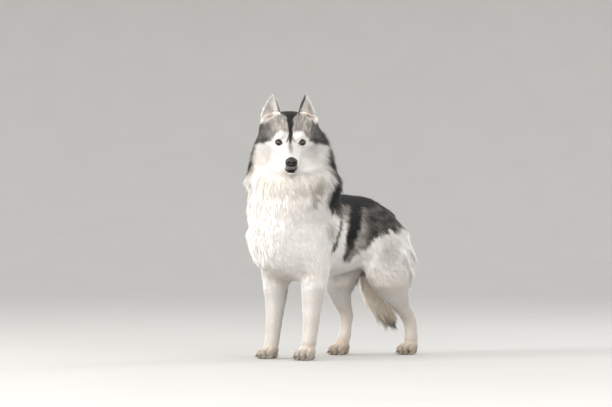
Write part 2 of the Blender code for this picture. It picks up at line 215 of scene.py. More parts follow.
# The soft lights: name, place, breadth, power and colour. All of them face LIT_PLACE.
LIGHTS = [
    ("key", (-2.4, -5.0, 1.9), 2.6, 385.0, (1.0, 0.97, 0.93)),
    ("fill", (4.6, -1.2, 1.8), 3.0, 90.0, (1.0, 0.97, 0.94)),
    ("low", (3.2, -4.6, 0.9), 2.4, 170.0, (1.0, 0.96, 0.91)),
    ("rim", (1.2, 3.8, 3.0), 2.0, 60.0, (0.97, 0.98, 1.0)),
]
LIT_PLACE = Vector((0.0, 0.0, 0.45))


def add_light(name, place, breadth, power, colour):
    """A round soft light."""
    data = bpy.data.lights.new(name, "AREA")
    data.shape = "DISK"
    data.size = breadth
    data.energy = power
    data.color = colour
    lamp = bpy.data.objects.new(name, data)
    lamp.location = place
    lamp.rotation_euler = (LIT_PLACE - Vector(place)).to_track_quat("-Z", "Y").to_euler()
    bpy.context.scene.collection.objects.link(lamp)


def new_material(name, values):
    """A node material, its nodes and its Principled shader, which takes the values."""
    material = bpy.data.materials.new(name)
    material.use_nodes = True
    tree = material.node_tree
    shader = tree.nodes["Principled BSDF"]
    for entry, value in values.items():
        shader.inputs[entry].default_value = value
    return material, tree, shader


def painted_colour(tree):
    """The colour that is painted on a mesh's vertices."""
    painted = tree.nodes.new("ShaderNodeVertexColor")
    painted.layer_name = "Coat"
    return painted.outputs["Color"]


def add_noise(tree, scale, detail):
    """Cloudy noise that stays with the object."""
    coordinates = tree.nodes.new("ShaderNodeTexCoord")
    noise = tree.nodes.new("ShaderNodeTexNoise")
    noise.inputs["Scale"].default_value = scale
    noise.inputs["Detail"].default_value = detail
    tree.links.new(coordinates.outputs["Object"], noise.inputs["Vector"])
    return noise


def add_clouds(tree, shader, scale, detail, low, high):
    """A base colour that drifts between two colours with noise. Gives the noise."""
    noise = add_noise(tree, scale, detail)
    ramp = tree.nodes.new("ShaderNodeValToRGB")
    for stop, colour in zip(ramp.color_ramp.elements, (low, high)):
        stop.color = (*colour, 1)
    tree.links.new(noise.outputs["Fac"], ramp.inputs["Fac"])
    tree.links.new(ramp.outputs["Color"], shader.inputs["Base Color"])
    return noise


def add_bump(tree, shader, height, strength, distance):
    """Small relief from a height."""
    bump_node = tree.nodes.new("ShaderNodeBump")
    bump_node.inputs["Strength"].default_value = strength
    bump_node.inputs["Distance"].default_value = distance
    tree.links.new(height, bump_node.inputs["Height"])
    tree.links.new(bump_node.outputs["Normal"], shader.inputs["Normal"])


# The floor is flat as far as FLAT_REACH, then curves up over EDGE_REACH to a wall's height
FLAT_REACH, EDGE_REACH, WALL_HEIGHT = 8.8, 5.4, 3.6
FLOOR_SIDES, BEND_RINGS = 96, 18


def floor_mesh():
    """A round floor whose edge curves up all round, far behind the dog."""
    turns = np.linspace(0, 2 * math.pi, FLOOR_SIDES, endpoint=False)
    bend = np.linspace(0, math.pi / 2, BEND_RINGS)
    reach = np.append((1.0, 4.0), FLAT_REACH + EDGE_REACH * np.sin(bend))
    height = np.append((0.0, 0.0), WALL_HEIGHT * (1 - np.cos(bend)))
    circle = np.stack([np.cos(turns), np.sin(turns), np.zeros(FLOOR_SIDES)], axis=1)
    rings = reach[:, None, None] * circle + height[:, None, None] * np.array((0, 0, 1))
    places = np.vstack([np.zeros((1, 3)), rings.reshape(-1, 3)])
    faces = []
    for j in range(FLOOR_SIDES):
        after = (j + 1) % FLOOR_SIDES
        faces.append((0, 1 + j, 1 + after))
        for k in range(len(reach) - 1):
            a, b = 1 + k * FLOOR_SIDES + j, 1 + k * FLOOR_SIDES + after
            faces += [(a, a + FLOOR_SIDES, b), (b, a + FLOOR_SIDES, b + FLOOR_SIDES)]
    return mesh_of("floor", places, np.array(faces))


def add_stage():
    """A pale floor, a pale sky that lights from all round, and the soft lights."""
    mesh = floor_mesh()
    material, tree, shader = new_material("floor", {"Roughness": 0.85})
    add_clouds(tree, shader, 3.0, 3.0, (0.39, 0.387, 0.38), (0.42, 0.417, 0.41))
    mesh.materials.append(material)
    floor = holder_of(mesh)

    world = bpy.data.worlds.new("studio")
    world.use_nodes = True
    background = world.node_tree.nodes["Background"]
    background.inputs["Color"].default_value = (1.0, 0.985, 0.96, 1)
    background.inputs["Strength"].default_value = 1.35
    bpy.context.scene.world = world
    for light in LIGHTS:
        add_light(*light)


# Meshes as arrays


def arrays_of(mesh):
    """A mesh's vertices and triangles as arrays."""
    mesh.calc_loop_triangles()
    places = np.empty(len(mesh.vertices) * 3, np.float32)
    mesh.vertices.foreach_get("co", places)
    faces = np.empty(len(mesh.loop_triangles) * 3, np.int32)
    mesh.loop_triangles.foreach_get("vertices", faces)
    return places.reshape(-1, 3).astype(float), faces.reshape(-1, 3)


def mesh_of(name, places, faces):
    """A smooth mesh of triangles."""
    mesh = bpy.data.meshes.new(name)
    mesh.vertices.add(len(places))
    mesh.vertices.foreach_set("co", places.astype(np.float32).ravel())
    mesh.loops.add(faces.size)
    mesh.loops.foreach_set("vertex_index", faces.astype(np.int32).ravel())
    mesh.polygons.add(len(faces))
    mesh.polygons.foreach_set("loop_start", np.arange(0, faces.size, 3, dtype=np.int32))
    mesh.update(calc_edges=True)
    mesh.shade_smooth()
    return mesh


def mesh_from(form):
    """The mesh that form has been built up to. form goes."""
    mesh = bpy.data.meshes.new("form")
    form.to_mesh(mesh)
    form.free()
    return mesh


def holder_of(mesh):
    """An object in the scene that holds the mesh."""
    holder = bpy.data.objects.new(mesh.name, mesh)
    bpy.context.scene.collection.objects.link(holder)
    return holder


def settled(holder):
    """The mesh that holder becomes under its modifiers. holder goes."""
    bpy.context.view_layer.update()
    graph = bpy.context.evaluated_depsgraph_get()
    mesh = bpy.data.meshes.new_from_object(holder.evaluated_get(graph))
    bpy.data.objects.remove(holder)
    return mesh


def links_of(faces):
    """Each edge of the triangles once, as two columns of vertex numbers."""
    pairs = np.vstack([faces[:, [0, 1]], faces[:, [1, 2]], faces[:, [2, 0]]])
    pairs.sort(axis=1)
    keys = np.unique(pairs[:, 0].astype(np.int64) << 32 | pairs[:, 1])
    return np.stack([keys >> 32, keys & 0xFFFFFFFF], axis=1)


def averaged(values, links):
    """For each vertex, the mean of its neighbours' values."""
    count = len(values)
    a, b = links[:, 0], links[:, 1]
    degree = np.bincount(a, minlength=count) + np.bincount(b, minlength=count)
    columns = values.reshape(count, -1)
    result = np.empty_like(columns)
    for k in range(columns.shape[1]):
        total = np.bincount(a, columns[b, k], count) + np.bincount(b, columns[a, k], count)
        result[:, k] = total / np.maximum(degree, 1)
    return result.reshape(values.shape)


def relaxed(values, links, rounds, share=0.6):
    """values drawn towards their neighbours' mean. share may differ from vertex to vertex."""
    share = np.broadcast_to(share, len(values))
    if values.ndim > 1:
        share = share[:, None]
    for _ in range(rounds):
        values = values + (averaged(values, links) - values) * share
    return values


def normals_of(places, faces):
    """The outward way at each vertex."""
    a, b, c = (places[faces[:, k]] for k in range(3))
    across = np.cross(b - a, c - a)
    total = np.zeros_like(places)
    for k in range(3):
        for axis in range(3):
            total[:, axis] += np.bincount(faces[:, k], across[:, axis], len(places))
    return unit(total)


# The skin


def add_ball(form, place, radii, turn=None):
    """A ball stretched along the axes that turn gives it."""
    matrix = Matrix.Translation(place) @ (turn or Matrix()) @ Matrix.Diagonal((*radii, 1.0))
    bmesh.ops.create_icosphere(form, subdivisions=4, radius=1.0, matrix=matrix)


def toe_places(kind, side):
    """For each of the four toes, from the inner one out: its middle and its way forward."""
    x, y = PAWS[kind, side]
    out = 1 if side == "left" else -1
    turn = Matrix.Rotation(TOE_OUT * out, 3, "Z")
    for number, ahead in ((-1.5, 0.012), (-0.5, 0.0225), (0.5, 0.0225), (1.5, 0.012)):
        splay = math.radians(6.0) * number * out
        middle = turn @ Vector((number * TOE_SPACING * out, -ahead, 0.0190))
        forward = turn @ Vector((math.sin(splay), -math.cos(splay), 0.0))
        yield middle + Vector((x, y, 0)) + Vector(BETWEEN_PAWS), forward


def add_paw(form, kind, side):
    """The bare paw: its body, the start of the leg, the heel's pad, and the toes."""
    x, y = PAWS[kind, side]
    middle = Vector((x, y, 0)) + Vector(BETWEEN_PAWS)
    back = 0.010 if kind == "fore" else 0.012
    add_ball(form, middle + Vector((0, back, 0.030)), (0.0265, 0.0290, 0.0230))
    add_ball(form, middle + Vector((0, back + 0.006, 0.052)), (0.0225, 0.0250, 0.0260))
    add_ball(form, middle + Vector((0, 0.020, 0.0125)), (0.0215, 0.0185, 0.0125))
    for toe, ahead in toe_places(kind, side):
        turn = ahead.to_track_quat("X", "Z").to_matrix().to_4x4()
        add_ball(form, toe, (0.0180, 0.0082, 0.0135), turn)
        knuckle = toe - ahead * 0.013 + Vector((0, 0, 0.0075))
        add_ball(form, knuckle, (0.0160, 0.0084, 0.0130), turn)
        pad = toe + ahead * 0.003 - Vector((0, 0, 0.0112))
        add_ball(form, pad, (0.0125, 0.0076, 0.0085), turn)


# How far the nodes are swelled so that neighbours meet, and the squares they are fused into
SWELL = 0.0006
VOXEL = 0.0021


def flesh_tree():
    """A search tree over the flesh nodes' faces, and the row of COAT of each face."""
    corners, faces, rows, start = [], [], [], 0
    for name, kind in FLESH.items():
        places, triangles = arrays_of(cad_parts[name].data)
        corners.append(places)
        faces.append(triangles + start)
        rows += [KINDS.index(kind)] * len(triangles)
        start += len(places)
    corners, faces = np.vstack(corners), np.vstack(faces)
    return BVHTree.FromPolygons(corners.tolist(), faces.tolist()), np.array(rows)


def rows_at(places, tree, rows):
    """For each place, the row of COAT of the nearest flesh node."""
    return rows[[tree.find_nearest(p)[2] for p in places.tolist()]]


def rough_skin():
    """All the flesh as one closed surface of small squares."""
    form = bmesh.new()
    names = [n for n, kind in FLESH.items() if "paw" not in kind]
    for name in names + ["eye_left", "eye_right", "nose"]:
        part = bmesh.new()
        part.from_mesh(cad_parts[name].data)
        part.normal_update()
        for vertex in part.verts:
            vertex.co += vertex.normal * SWELL
        mesh = mesh_from(part)
        form.from_mesh(mesh)
        bpy.data.meshes.remove(mesh)
    for kind, side in PAWS:
        add_paw(form, kind, side)
    holder = holder_of(mesh_from(form))
    remesh = holder.modifiers.new("Fuse", "REMESH")
    remesh.mode = "VOXEL"
    remesh.voxel_size = VOXEL
    return arrays_of(settled(holder))


def largest_part(places, faces):
    """Only the largest connected part."""
    links = links_of(faces)
    label = np.arange(len(places))
    while True:
        lowest = np.minimum(label[links[:, 0]], label[links[:, 1]])
        before = label.copy()
        np.minimum.at(label, links[:, 0], lowest)
        np.minimum.at(label, links[:, 1], lowest)
        label = label[label]
        if (label == before).all():
            break
    main = np.bincount(label).argmax()
    kept = label == main
    number = np.cumsum(kept) - 1
    faces = faces[kept[faces].all(axis=1)]
    return places[kept], number[faces]


def sunk(places, faces, depth, rounds=6):
    """The surface drawn inwards by depth, a little at a time."""
    links = links_of(faces)
    for _ in range(rounds):
        places = places - normals_of(places, faces) * (depth / rounds)[:, None]
        share = np.clip(depth / 0.012, 0.0, 1.0) * 0.5
        places = relaxed(places, links, 2, share)
    return places


# The relief, in metres, that the surface carries while it is thinned
ROUGHENED = 0.0004


def thinned(places, faces, keep, count):
    """About count triangles. keep is from 0, thinned first, to 1.

    The surface is roughened while it is thinned, so that its smooth parts keep their share of
    the triangles, and its corners are then laid back on the smooth surface.
    """
    tree = BVHTree.FromPolygons(places.tolist(), faces.tolist())
    grit = np.random.default_rng(SEED + 7).normal(0, ROUGHENED, len(places))
    rough = places + normals_of(places, faces) * grit[:, None]
    holder = holder_of(mesh_of("thin", rough, faces))
    group = holder.vertex_groups.new(name="keep")
    for level in range(1, 11):
        chosen = np.flatnonzero(np.round(keep * 10) == level)
        if len(chosen):
            group.add(chosen.tolist(), level / 10, "REPLACE")
    modifier = holder.modifiers.new("Thin out", "DECIMATE")
    modifier.ratio = count / len(faces)
    modifier.vertex_group = "keep"
    modifier.vertex_group_factor = 1.0
    modifier.invert_vertex_group = True
    thin, faces = arrays_of(settled(holder))
    return np.array([tree.find_nearest(point)[0][:] for point in thin.tolist()]), faces


def refined(places, faces, chosen):
    """The chosen triangles cut into four."""
    form = bmesh.new()
    form.from_mesh(mesh_of("fine", places, faces))
    form.faces.ensure_lookup_table()
    edges = {e for k in np.flatnonzero(chosen) for e in form.faces[int(k)].edges}
    bmesh.ops.subdivide_edges(form, edges=list(edges), cuts=1, use_grid_fill=True)
    bmesh.ops.triangulate(form, faces=form.faces)
    return arrays_of(mesh_from(form))


# Dabs that model the bare head: middle, reach and shift, each as forward, left and up of the
# skull in millimetres, and each made on both sides
DABS = [
    ((60, 0, 16), (22, 13, 20), (-4.0, 0, -1.0)),
    ((34, 0, 48), (26, 7, 26), (-1.6, 0, -1.6)),
    ((47, 34, 27), (16, 20, 11), (3.4, 0, 1.0)),
    ((60, 46, -16), (18, 20, 14), (-2.2, 0, 0)),
    ((32, 66, -12), (26, 16, 14), (0, 2.4, 0)),
    ((116, 21, -42), (22, 13, 14), (1.0, 2.6, -0.6)),
    ((82, 36, -34), (16, 12, 16), (0, -2.0, 0)),
    ((100, 14, -12), (34, 8, 9), (0, 1.0, -1.4)),
    ((112, 0, -70), (14, 14, 10), (2.4, 0, -0.6)),
    ((130, 0, -30), (26, 28, 30), (5.0, 0, 1.5)),
    ((126, 15, -24), (20, 12, 14), (1.5, 1.4, 1.0)),
    ((122, 0, -52), (26, 28, 20), (6.0, 0, 2.4)),
    ((118, 0, -72), (32, 26, 20), (20.0, 0, 4.4)),
    ((124, 0, -84), (22, 22, 14), (5.0, 0, -4.0)),
    ((108, 19, -58), (30, 12, 12), (0.5, 1.5, -3.5)),
]


def dabbed(places):
    """The bare head with the dabs pushed and pulled into it."""
    local = to_head(places)
    for middle, reach, shift in DABS:
        for side in (1, -1) if middle[1] else (1,):
            way = np.array((1, side, 1))
            span = (local - np.array(middle) * 1e-3 * way) / (np.array(reach) * 1e-3)
            weight = np.clip(1 - (span**2).sum(axis=1), 0, 1) ** 2
            local += weight[:, None] * np.array(shift) * 1e-3 * way
    return to_frame(local)


def lip_height(forward):
    """The height at which the lips meet, along the muzzle."""
    line = [(0.050, -0.0560), (0.065, -0.0595), (0.085, -0.0650), (0.105, -0.0680)]
    line += [(0.120, -0.0665), (0.132, -0.0635), (0.145, -0.0600)]
    return between(line, forward)


# Where the lips end towards the cheeks, forward of the middle of the skull
LIP_END = 0.058


def lip_front(local):
    """1 on the lips' middle under the nose, where they are thick and dark, and 0 at the sides."""
    return step(0.108, 0.122, local[:, 0]) * step(0.026, 0.018, np.abs(local[:, 1]))


def lips_parted(places):
    """A furrow between the lips, and one from the nose down to them."""
    local = to_head(places)
    forward, left, up = local.T
    near = np.exp(-(((up - lip_height(forward)) / 0.0017) ** 2))
    near *= step(LIP_END - 0.006, LIP_END + 0.030, forward)
    near *= step(-0.080, -0.073, up) * step(-0.030, -0.036, up)
    inward = unit(np.stack([0.10 - forward - 0.02, -left, np.zeros_like(up)], axis=1))
    local += inward * (near * 0.0032)[:, None]
    furrow = np.exp(-((left / 0.0011) ** 2)) * step(0.128, 0.134, forward)
    furrow *= step(-0.063, -0.060, up) * step(-0.030, -0.036, up)
    local[:, 0] -= furrow * 0.0016
    return to_frame(local)


# The eye: which way it looks, and the half width and half height of the opening between lids
GAZE_OUT = math.radians(12.0)
GAZE_UP = 0.30
LID_SLANT = math.radians(20.0)
LID_WIDE, LID_HIGH = 0.0125, 0.0053
LID_RISE = 0.0013


def eye_axes(side):
    """The eye's middle, and its gaze, its outer corner's way and its upper lid's, in the frame."""
    middle = np.array(HEAD @ Vector((EYE_PLACE[0], EYE_PLACE[1] * side, EYE_PLACE[2])))
    gaze = np.array((math.cos(GAZE_OUT), math.sin(GAZE_OUT) * side, GAZE_UP))
    gaze /= np.linalg.norm(gaze)
    out = np.array((0.0, math.cos(LID_SLANT) * side, math.sin(LID_SLANT)))
    out -= gaze * (out @ gaze)
    out /= np.linalg.norm(out)
    up = np.cross(gaze, out) * side
    return middle, *(from_head(way) for way in (gaze, out, up))


def lid_place(places, side):
    """How far places are from the eye's middle, and where they lie in the lids' opening.

    The last number is 1 on the lids' edges, less inside the opening and more on the lids.
    """
    middle, gaze, out, up = eye_axes(side)
    offset = places - middle
    away = np.linalg.norm(offset, axis=1)
    ahead = offset @ gaze / away
    across = offset @ out / away * EYE_RADIUS
    above = offset @ up / away * EYE_RADIUS
    share = np.clip(np.abs(across) / LID_WIDE, 0, 0.999)
    height = LID_HIGH * (1 - share**2.2) * np.where(above > 0, 1.0, 0.86)
    opening = np.maximum(np.abs(above) / np.maximum(height, 1e-5), np.abs(across) / LID_WIDE)
    opening = np.where((ahead > 0.1) & (away < 0.021), opening, 9.0)
    return away, ahead, opening


def lidded(places):
    """The skin round each eye drawn over the ball as lids, and sunk behind it in the opening."""
    for side in (1, -1):
        middle = eye_axes(side)[0]
        away, ahead, opening = lid_place(places, side)
        way = (places - middle) / away[:, None]
        lid = EYE_RADIUS + LID_RISE * (1 + 0.35 * step(1.7, 1.0, opening))
        share = step(0.030, 0.0165, away) * step(-0.15, 0.25, ahead)
        target = np.maximum(away, lid)
        close = step(2.9, 1.6, opening)
        target = target + (lid - target) * close
        target = np.where(opening < 1, EYE_RADIUS - 0.0035, target)
        share = np.where(opening < 1, 1.0, share)
        places = places + way * ((target - away) * share)[:, None]
    return places


def nose_bedded(places):
    """The skin behind the nose drawn back, so that the bare leather stands in front of it."""
    local = to_head(places)
    span = (local - NOSE_PLACE) / NOSE_RADII
    across = np.linalg.norm(span[:, 1:], axis=1)
    front = NOSE_PLACE[0] + NOSE_RADII[0] * (-0.45 + 1.15 * step(0.78, 1.15, across))
    local[:, 0] = np.where(across < 1.15, np.minimum(local[:, 0], front), local[:, 0])
    return to_frame(local)


# The height in the skull above which the ears are drawn down, and the share that is taken off
EAR_TIP = 0.128
EAR_BLUNTED = 0.38


def ears_rounded(places):
    """The tips of the ears drawn down a little, so that they are blunt."""
    local = to_head(places)
    over = np.maximum(local[:, 2] - EAR_TIP, 0)
    local[:, 2] -= EAR_BLUNTED * over * step(0.0, 0.004, over)
    return to_frame(local)


# How far the joins between nodes are smoothed away: less on the head and the paws
SMOOTHING = {"head": 0.30, "muzzle": 0.20, "lower_jaw": 0.20, "ear": 0.05}
SMOOTHING |= {"forepaw": 0.04, "hindpaw": 0.04}
# The lowest that the soles lie, and the skin's triangles before the face is refined
SOLE_HEIGHT = 0.0006
SKIN_TRIANGLES = 100_000


def skin_depth(places, row):
    """How deep the skin lies under the flesh nodes: deeper in the cheeks and over the croup."""
    depth = np.array([COAT[kind][0] for kind in KINDS])[row] * 1e-3
    forward, _, up = to_head(places).T
    cheek = step(0.050, -0.020, forward) * step(0.01, -0.04, up)
    depth += 0.006 * cheek * (row == KINDS.index("head"))
    _, y, z = (places - BETWEEN_PAWS).T
    depth += 0.010 * step(0.38, 0.46, y) * step(0.43, 0.48, z)
    depth -= 0.006 * step(0.40, 0.46, y) * bump(z, 0.32, 0.03, 0.05)
    return depth


def detail_kept(places):
    """From 0 on the trunk to 1 on the face, how well a place is kept as the skin is thinned."""
    forward, left, up = to_head(places).T
    face = step(-0.02, 0.02, forward) * step(0.10, 0.08, np.abs(left))
    face *= step(-0.12, -0.10, up)
    ear = step(0.055, 0.065, up) * (forward < 0.0)
    paw = step(0.075, 0.060, places[:, 2])
    return greatest(face, paw * 0.35, ear * 0.8)


def make_skin():
    """The skin's vertices and triangles, and the share of each row of COAT at each vertex."""
    places, faces = largest_part(*rough_skin())
    tree, rows = flesh_tree()
    row = rows_at(places, tree, rows)
    links = links_of(faces)
    share = np.array([SMOOTHING.get(kind, 1.0) for kind in KINDS])[row]
    share = relaxed(share, links, 6)
    places = relaxed(places, links, 40, share * 0.6)
    depth = relaxed(skin_depth(places, row), links, 60)
    places = sunk(places, faces, depth)
    places[:, 2] = np.maximum(places[:, 2], SOLE_HEIGHT)
    share = relaxed(np.eye(len(KINDS))[row], links, 30)
    share = share[faces].mean(axis=1)
    sunk_tree = BVHTree.FromPolygons(places.tolist(), faces.tolist())

    places, faces = thinned(places, faces, detail_kept(places), SKIN_TRIANGLES)
    forward, left, up = to_head(places[faces].mean(axis=1)).T
    face = (forward > 0.036) & (np.abs(left) < 0.062) & (up > -0.090)
    face &= up < 0.036
    places, faces = refined(places, faces, face)
    middle = places[faces].mean(axis=1)
    eyes = [np.linalg.norm(middle - eye_axes(side)[0], axis=1) < 0.019 for side in (1, -1)]
    places, faces = refined(places, faces, eyes[0] | eyes[1])
    places = ears_rounded(dabbed(places))
    places = relaxed(places, links_of(faces), 2, 0.3)
    places = nose_bedded(lips_parted(places))
    places = lidded(places)
    near = [sunk_tree.find_nearest(place)[2] for place in places.tolist()]
    return places, faces, relaxed(share[near], links_of(faces), 9)


# Markings


# The dark corners of the eye, inner and outer: the middle of each by the way of the gaze, of the
# outer corner and of the upper lid, and how far it reaches by the last two
EYE_CORNERS = [
    ((0.0070, -0.0138, -0.0016), (0.0050, 0.0030)),
    ((0.0050, 0.0132, 0.0006), (0.0036, 0.0024)),
]


def eye_corners(places):
    """1 at the dark corners of each eye, falling to 0 around them."""
    found = np.zeros(len(places))
    for side in (1, -1):
        middle, gaze, out, up = eye_axes(side)
        for (a, b, c), (wide, high) in EYE_CORNERS:
            offset = places - (middle + gaze * a + out * b + up * c)
            span = (offset @ out / wide) ** 2 + (offset @ up / high) ** 2
            span += (offset @ gaze / 0.010) ** 2
            found = np.maximum(found, np.clip(1 - span, 0, 1))
    return found


def face_marks(places, facing):
    """How dark the head's coat is, how much its hairs differ, and how warm it is.

    facing is 1 where the skin looks the way the head does.
    """
    forward, left, up = to_head(places).T
    side = np.abs(left)
    # height in the face as it is seen from straight ahead of the dog
    high = places[:, 2] - SKULL_PLACE[2]
    rough = ripple(places, 0.016, 3) * 0.0022 + ripple(places, 0.006, 4) * 0.0010
    brow_line = [(0, 0.019), (0.010, 0.014), (0.020, 0.020), (0.038, 0.020), (0.047, 0.012)]
    brow_line += [(0.053, 0.000), (0.059, -0.009), (0.064, -0.012), (0.120, -0.009)]
    cap = step(-0.0045, 0.0055, high + rough - between(brow_line, side))
    cap *= step(0.066, 0.052, forward)
    stripe_line = [(-0.03, 0.001), (-0.017, 0.0025), (-0.007, 0.0056), (0.004, 0.0048)]
    stripe_line += [(0.025, 0.0050), (0.045, 0.0070), (0.062, 0.0095), (0.071, 0.014)]
    stripe_line += [(0.081, 0.024), (0.1, 0.03)]
    stripe = between(stripe_line, high)
    band = step(stripe + 0.0048, stripe - 0.0018, side + rough * 0.5)
    # the cap: silver between darker edges
    streaks = ripple(np.stack([left * 2.2, high * 0.8, forward * 0.8], 1), 0.020, 5)
    edge = between([(-0.02, 0.113), (0.0, 0.110), (0.050, 0.088), (0.075, 0.06)], high)
    patch = bump(side, 0.052, 0.005, 0.012) * bump(high, 0.014, 0.006, 0.014)
    dark = cap * greatest(
        0.42 + 0.07 * streaks + 0.28 * step(0.040, 0.085, side) * step(0.075, 0.03, high),
        0.98 * band,
        0.92 * step(0.074, 0.088, high + rough),
        0.88 * bump(side, edge, 0.004, 0.011) * step(0.005, -0.01, forward),
        0.84 * bump(high, -0.005, 0.004, 0.009) * step(0.056, 0.074, side),
        0.55 * patch,
    )
    # the stripe runs on down between the eyes, forks, and greys the bridge of the muzzle
    fork = bump(side, 0.0100 - 0.5 * (high + 0.008), 0.0015, 0.004)
    fork = fork * bump(high, -0.006, 0.006, 0.008)
    bridge = step(0.012, 0.003, side) * step(-0.070, -0.035, high) * step(-0.003, -0.018, high)
    # grey between the nose and the lips
    lip = step(0.112, 0.120, forward) * step(0.022, 0.014, side) * bump(up, -0.046, 0.013, 0.004)
    # behind the cheeks and over the crown
    edge = -0.060 + 0.020 * step(0.02, -0.02, high)
    outline = [(-0.13, 0.068), (-0.10, 0.082), (-0.07, 0.102), (0.0, 0.110), (0.02, 0.126)]
    outer = between(outline, high)
    behind = greatest(
        step(edge, edge - 0.026, forward + 0.30 * np.minimum(up, 0.03) + rough),
        step(-0.030, -0.050, forward) * step(0.035, 0.055, up),
        step(outer, outer + 0.010, side + rough) * step(0.0, -0.02, forward),
    )
    dark = greatest(
        dark,
        band * step(-0.026, -0.012, high) * 0.95,
        0.55 * fork,
        bridge * 0.42 * step(0.128, 0.110, forward),
        0.68 * lip,
        behind * (0.82 + 0.10 * streaks),
    )
    # white fur in front of the ears
    above = high - 0.0640 + 0.54 * (side - 0.06)
    white = step(-0.005, 0.004, above + rough) * step(0.030, 0.038, side)
    white *= step(-0.15, 0.20, facing) * step(-0.085, -0.060, forward)
    dark = dark * (1 - white)
    differ = 0.07 + 0.13 * bump(dark, 0.5, 0.12, 0.25)
    warm = 0.08 + 0.22 * step(-0.045, -0.075, up) * step(0.02, -0.03, forward)
    warm += 0.25 * cap
    return dark, differ, warm


# The angle round the neck, from the breast to the dog's left, at which its dark cape begins on
# either side, as (height, degrees)
CAPE_LEFT = [(0.48, 56), (0.54, 66), (0.585, 74), (0.62, 74), (0.68, 70), (0.74, 76), (0.80, 95)]
CAPE_RIGHT = [(0.44, -60), (0.50, -56), (0.54, -40), (0.58, -26), (0.64, -18), (0.70, -20)]
CAPE_RIGHT += [(0.8, -30)]


def cape_marks(x, y, z, rough, streaks):
    """How dark the cape on the neck is: from the nape round to streaks on its sides."""
    rise = np.clip((z - 0.56) / 0.08, 0, 1)
    angle = np.degrees(np.arctan2(x - 0.016 * rise, -(y - 0.022 + 0.033 * rise)))
    angle = np.where(angle < -140, angle + 360, angle)
    past = np.where(angle > 42, angle - between(CAPE_LEFT, z), between(CAPE_RIGHT, z) - angle)
    past = past + rough * 500
    high = step(0.620, 0.660, z)
    upper = step(-6, 12, past) * (0.38 + 0.10 * streaks) + 0.52 * step(6, 20, past)
    foot = 0.555 - 0.0012 * np.clip(past - 20, 0, 80) + 2.0 * rough
    over = step(foot - 0.022, foot + 0.018, z)
    lower = 0.12 * step(0, 12, past) + 0.82 * step(20, 38, past) * over
    streak = 0.34 * bump(past, 4, 3, 10) * step(0.49, 0.54, z)
    lower = np.maximum(lower, streak)
    return (lower + (upper - lower) * high) * step(0.45, 0.52, z) * step(0.22, 0.12, y)


def body_marks(places):
    """The same for the neck, the trunk and the legs."""
    offset = places - BETWEEN_PAWS
    x, y, z = offset.T
    side = np.abs(x)
    rough = ripple(places, 0.05, 6) * 0.006 + ripple(places, 0.018, 7) * 0.003
    streaks = ripple(np.stack([x, y * 0.5, z * 2.0], 1), 0.045, 8)
    # the saddle on back and flanks
    low = [(0.10, 0.358), (0.155, 0.334), (0.190, 0.340), (0.219, 0.358), (0.286, 0.392)]
    low += [(0.300, 0.412), (0.360, 0.430), (0.437, 0.447), (0.50, 0.458)]
    edge = between(low, y)
    saddle = step(-0.012, 0.014, z + rough - edge) * step(0.142, 0.160, y + 0.5 * rough)
    top = [(0.0, 0.56), (0.077, 0.579), (0.232, 0.560), (0.358, 0.556), (0.416, 0.545)]
    top += [(0.460, 0.519), (0.488, 0.475), (0.52, 0.45)]
    under = between(top, y) - z
    # its black front edge leans forward as it runs down
    lean = 0.5 * (z - 0.45)
    dark = saddle * greatest(
        0.51 + 0.05 * streaks + 0.29 * step(0.24, 0.30, y),
        bump(y - lean + 0.6 * rough, 0.192, 0.024, 0.016) * (0.97 - 0.16 * step(0.43, 0.37, z)),
        0.80 * spot(offset, (0, 0.335, 0.474), (9, 0.034, 0.036)),
        0.50 * spot(offset, (0, 0.290, 0.505), (9, 0.040, 0.030)),
        0.78 * bump(z + rough, edge + 0.022, 0.008, 0.018) * step(0.22, 0.28, y),
        0.96 * step(0.062, 0.034, under + rough),
    )
    # the withers, the thin dark line behind the shoulder, and the faint patches on it
    withers = step(0.068, 0.042, under + 0.35 * side + rough)
    withers *= step(0.04, 0.11, y) * step(0.24, 0.2, y)
    line = bump(y - 0.41 * (z - 0.45) + 0.35 * rough, 0.124, 0.0035, 0.008)
    line *= step(0.35, 0.39, z) * step(0.56, 0.54, z) * step(0.05, 0.08, side)
    shoulder = spot(offset, (0, 0.080, 0.437), (9, 0.040, 0.060)) * step(0.04, 0.08, side)
    dark = greatest(
        dark,
        0.94 * withers,
        0.80 * line,
        0.34 * shoulder,
        0.28 * spot(offset, (0, 0.370, 0.370), (9, 0.080, 0.085)),
        0.26 * spot(offset, (0, 0.440, 0.335), (9, 0.030, 0.040)),
        cape_marks(x, y, z, rough, streaks),
    )
    differ = 0.06 + 0.17 * bump(dark, 0.50, 0.20, 0.25)
    # warm cream low on the breast, under the belly, behind the legs and on the feet
    warm = 0.14 + 0.08 * ripple(places, 0.09, 9)
    warm += 0.42 * step(0.345, 0.275, z) * step(0.055, 0.020, side) * step(0.06, -0.02, y)
    warm += 0.16 * step(0.34, 0.28, z) * step(0.06, 0.12, y) + 0.50 * step(0.085, 0.020, z)
    warm += 0.10 * step(0.22, 0.10, z) + 0.25 * step(0.1, 0.4, dark)
    warm += 0.15 * step(-0.06, 0.02, x) * step(0.52, 0.60, z) * step(0.02, -0.05, y)
    dark = np.maximum(dark, 0.35 * step(0.060, 0.024, z))
    return dark, differ, np.clip(warm, 0, 1)


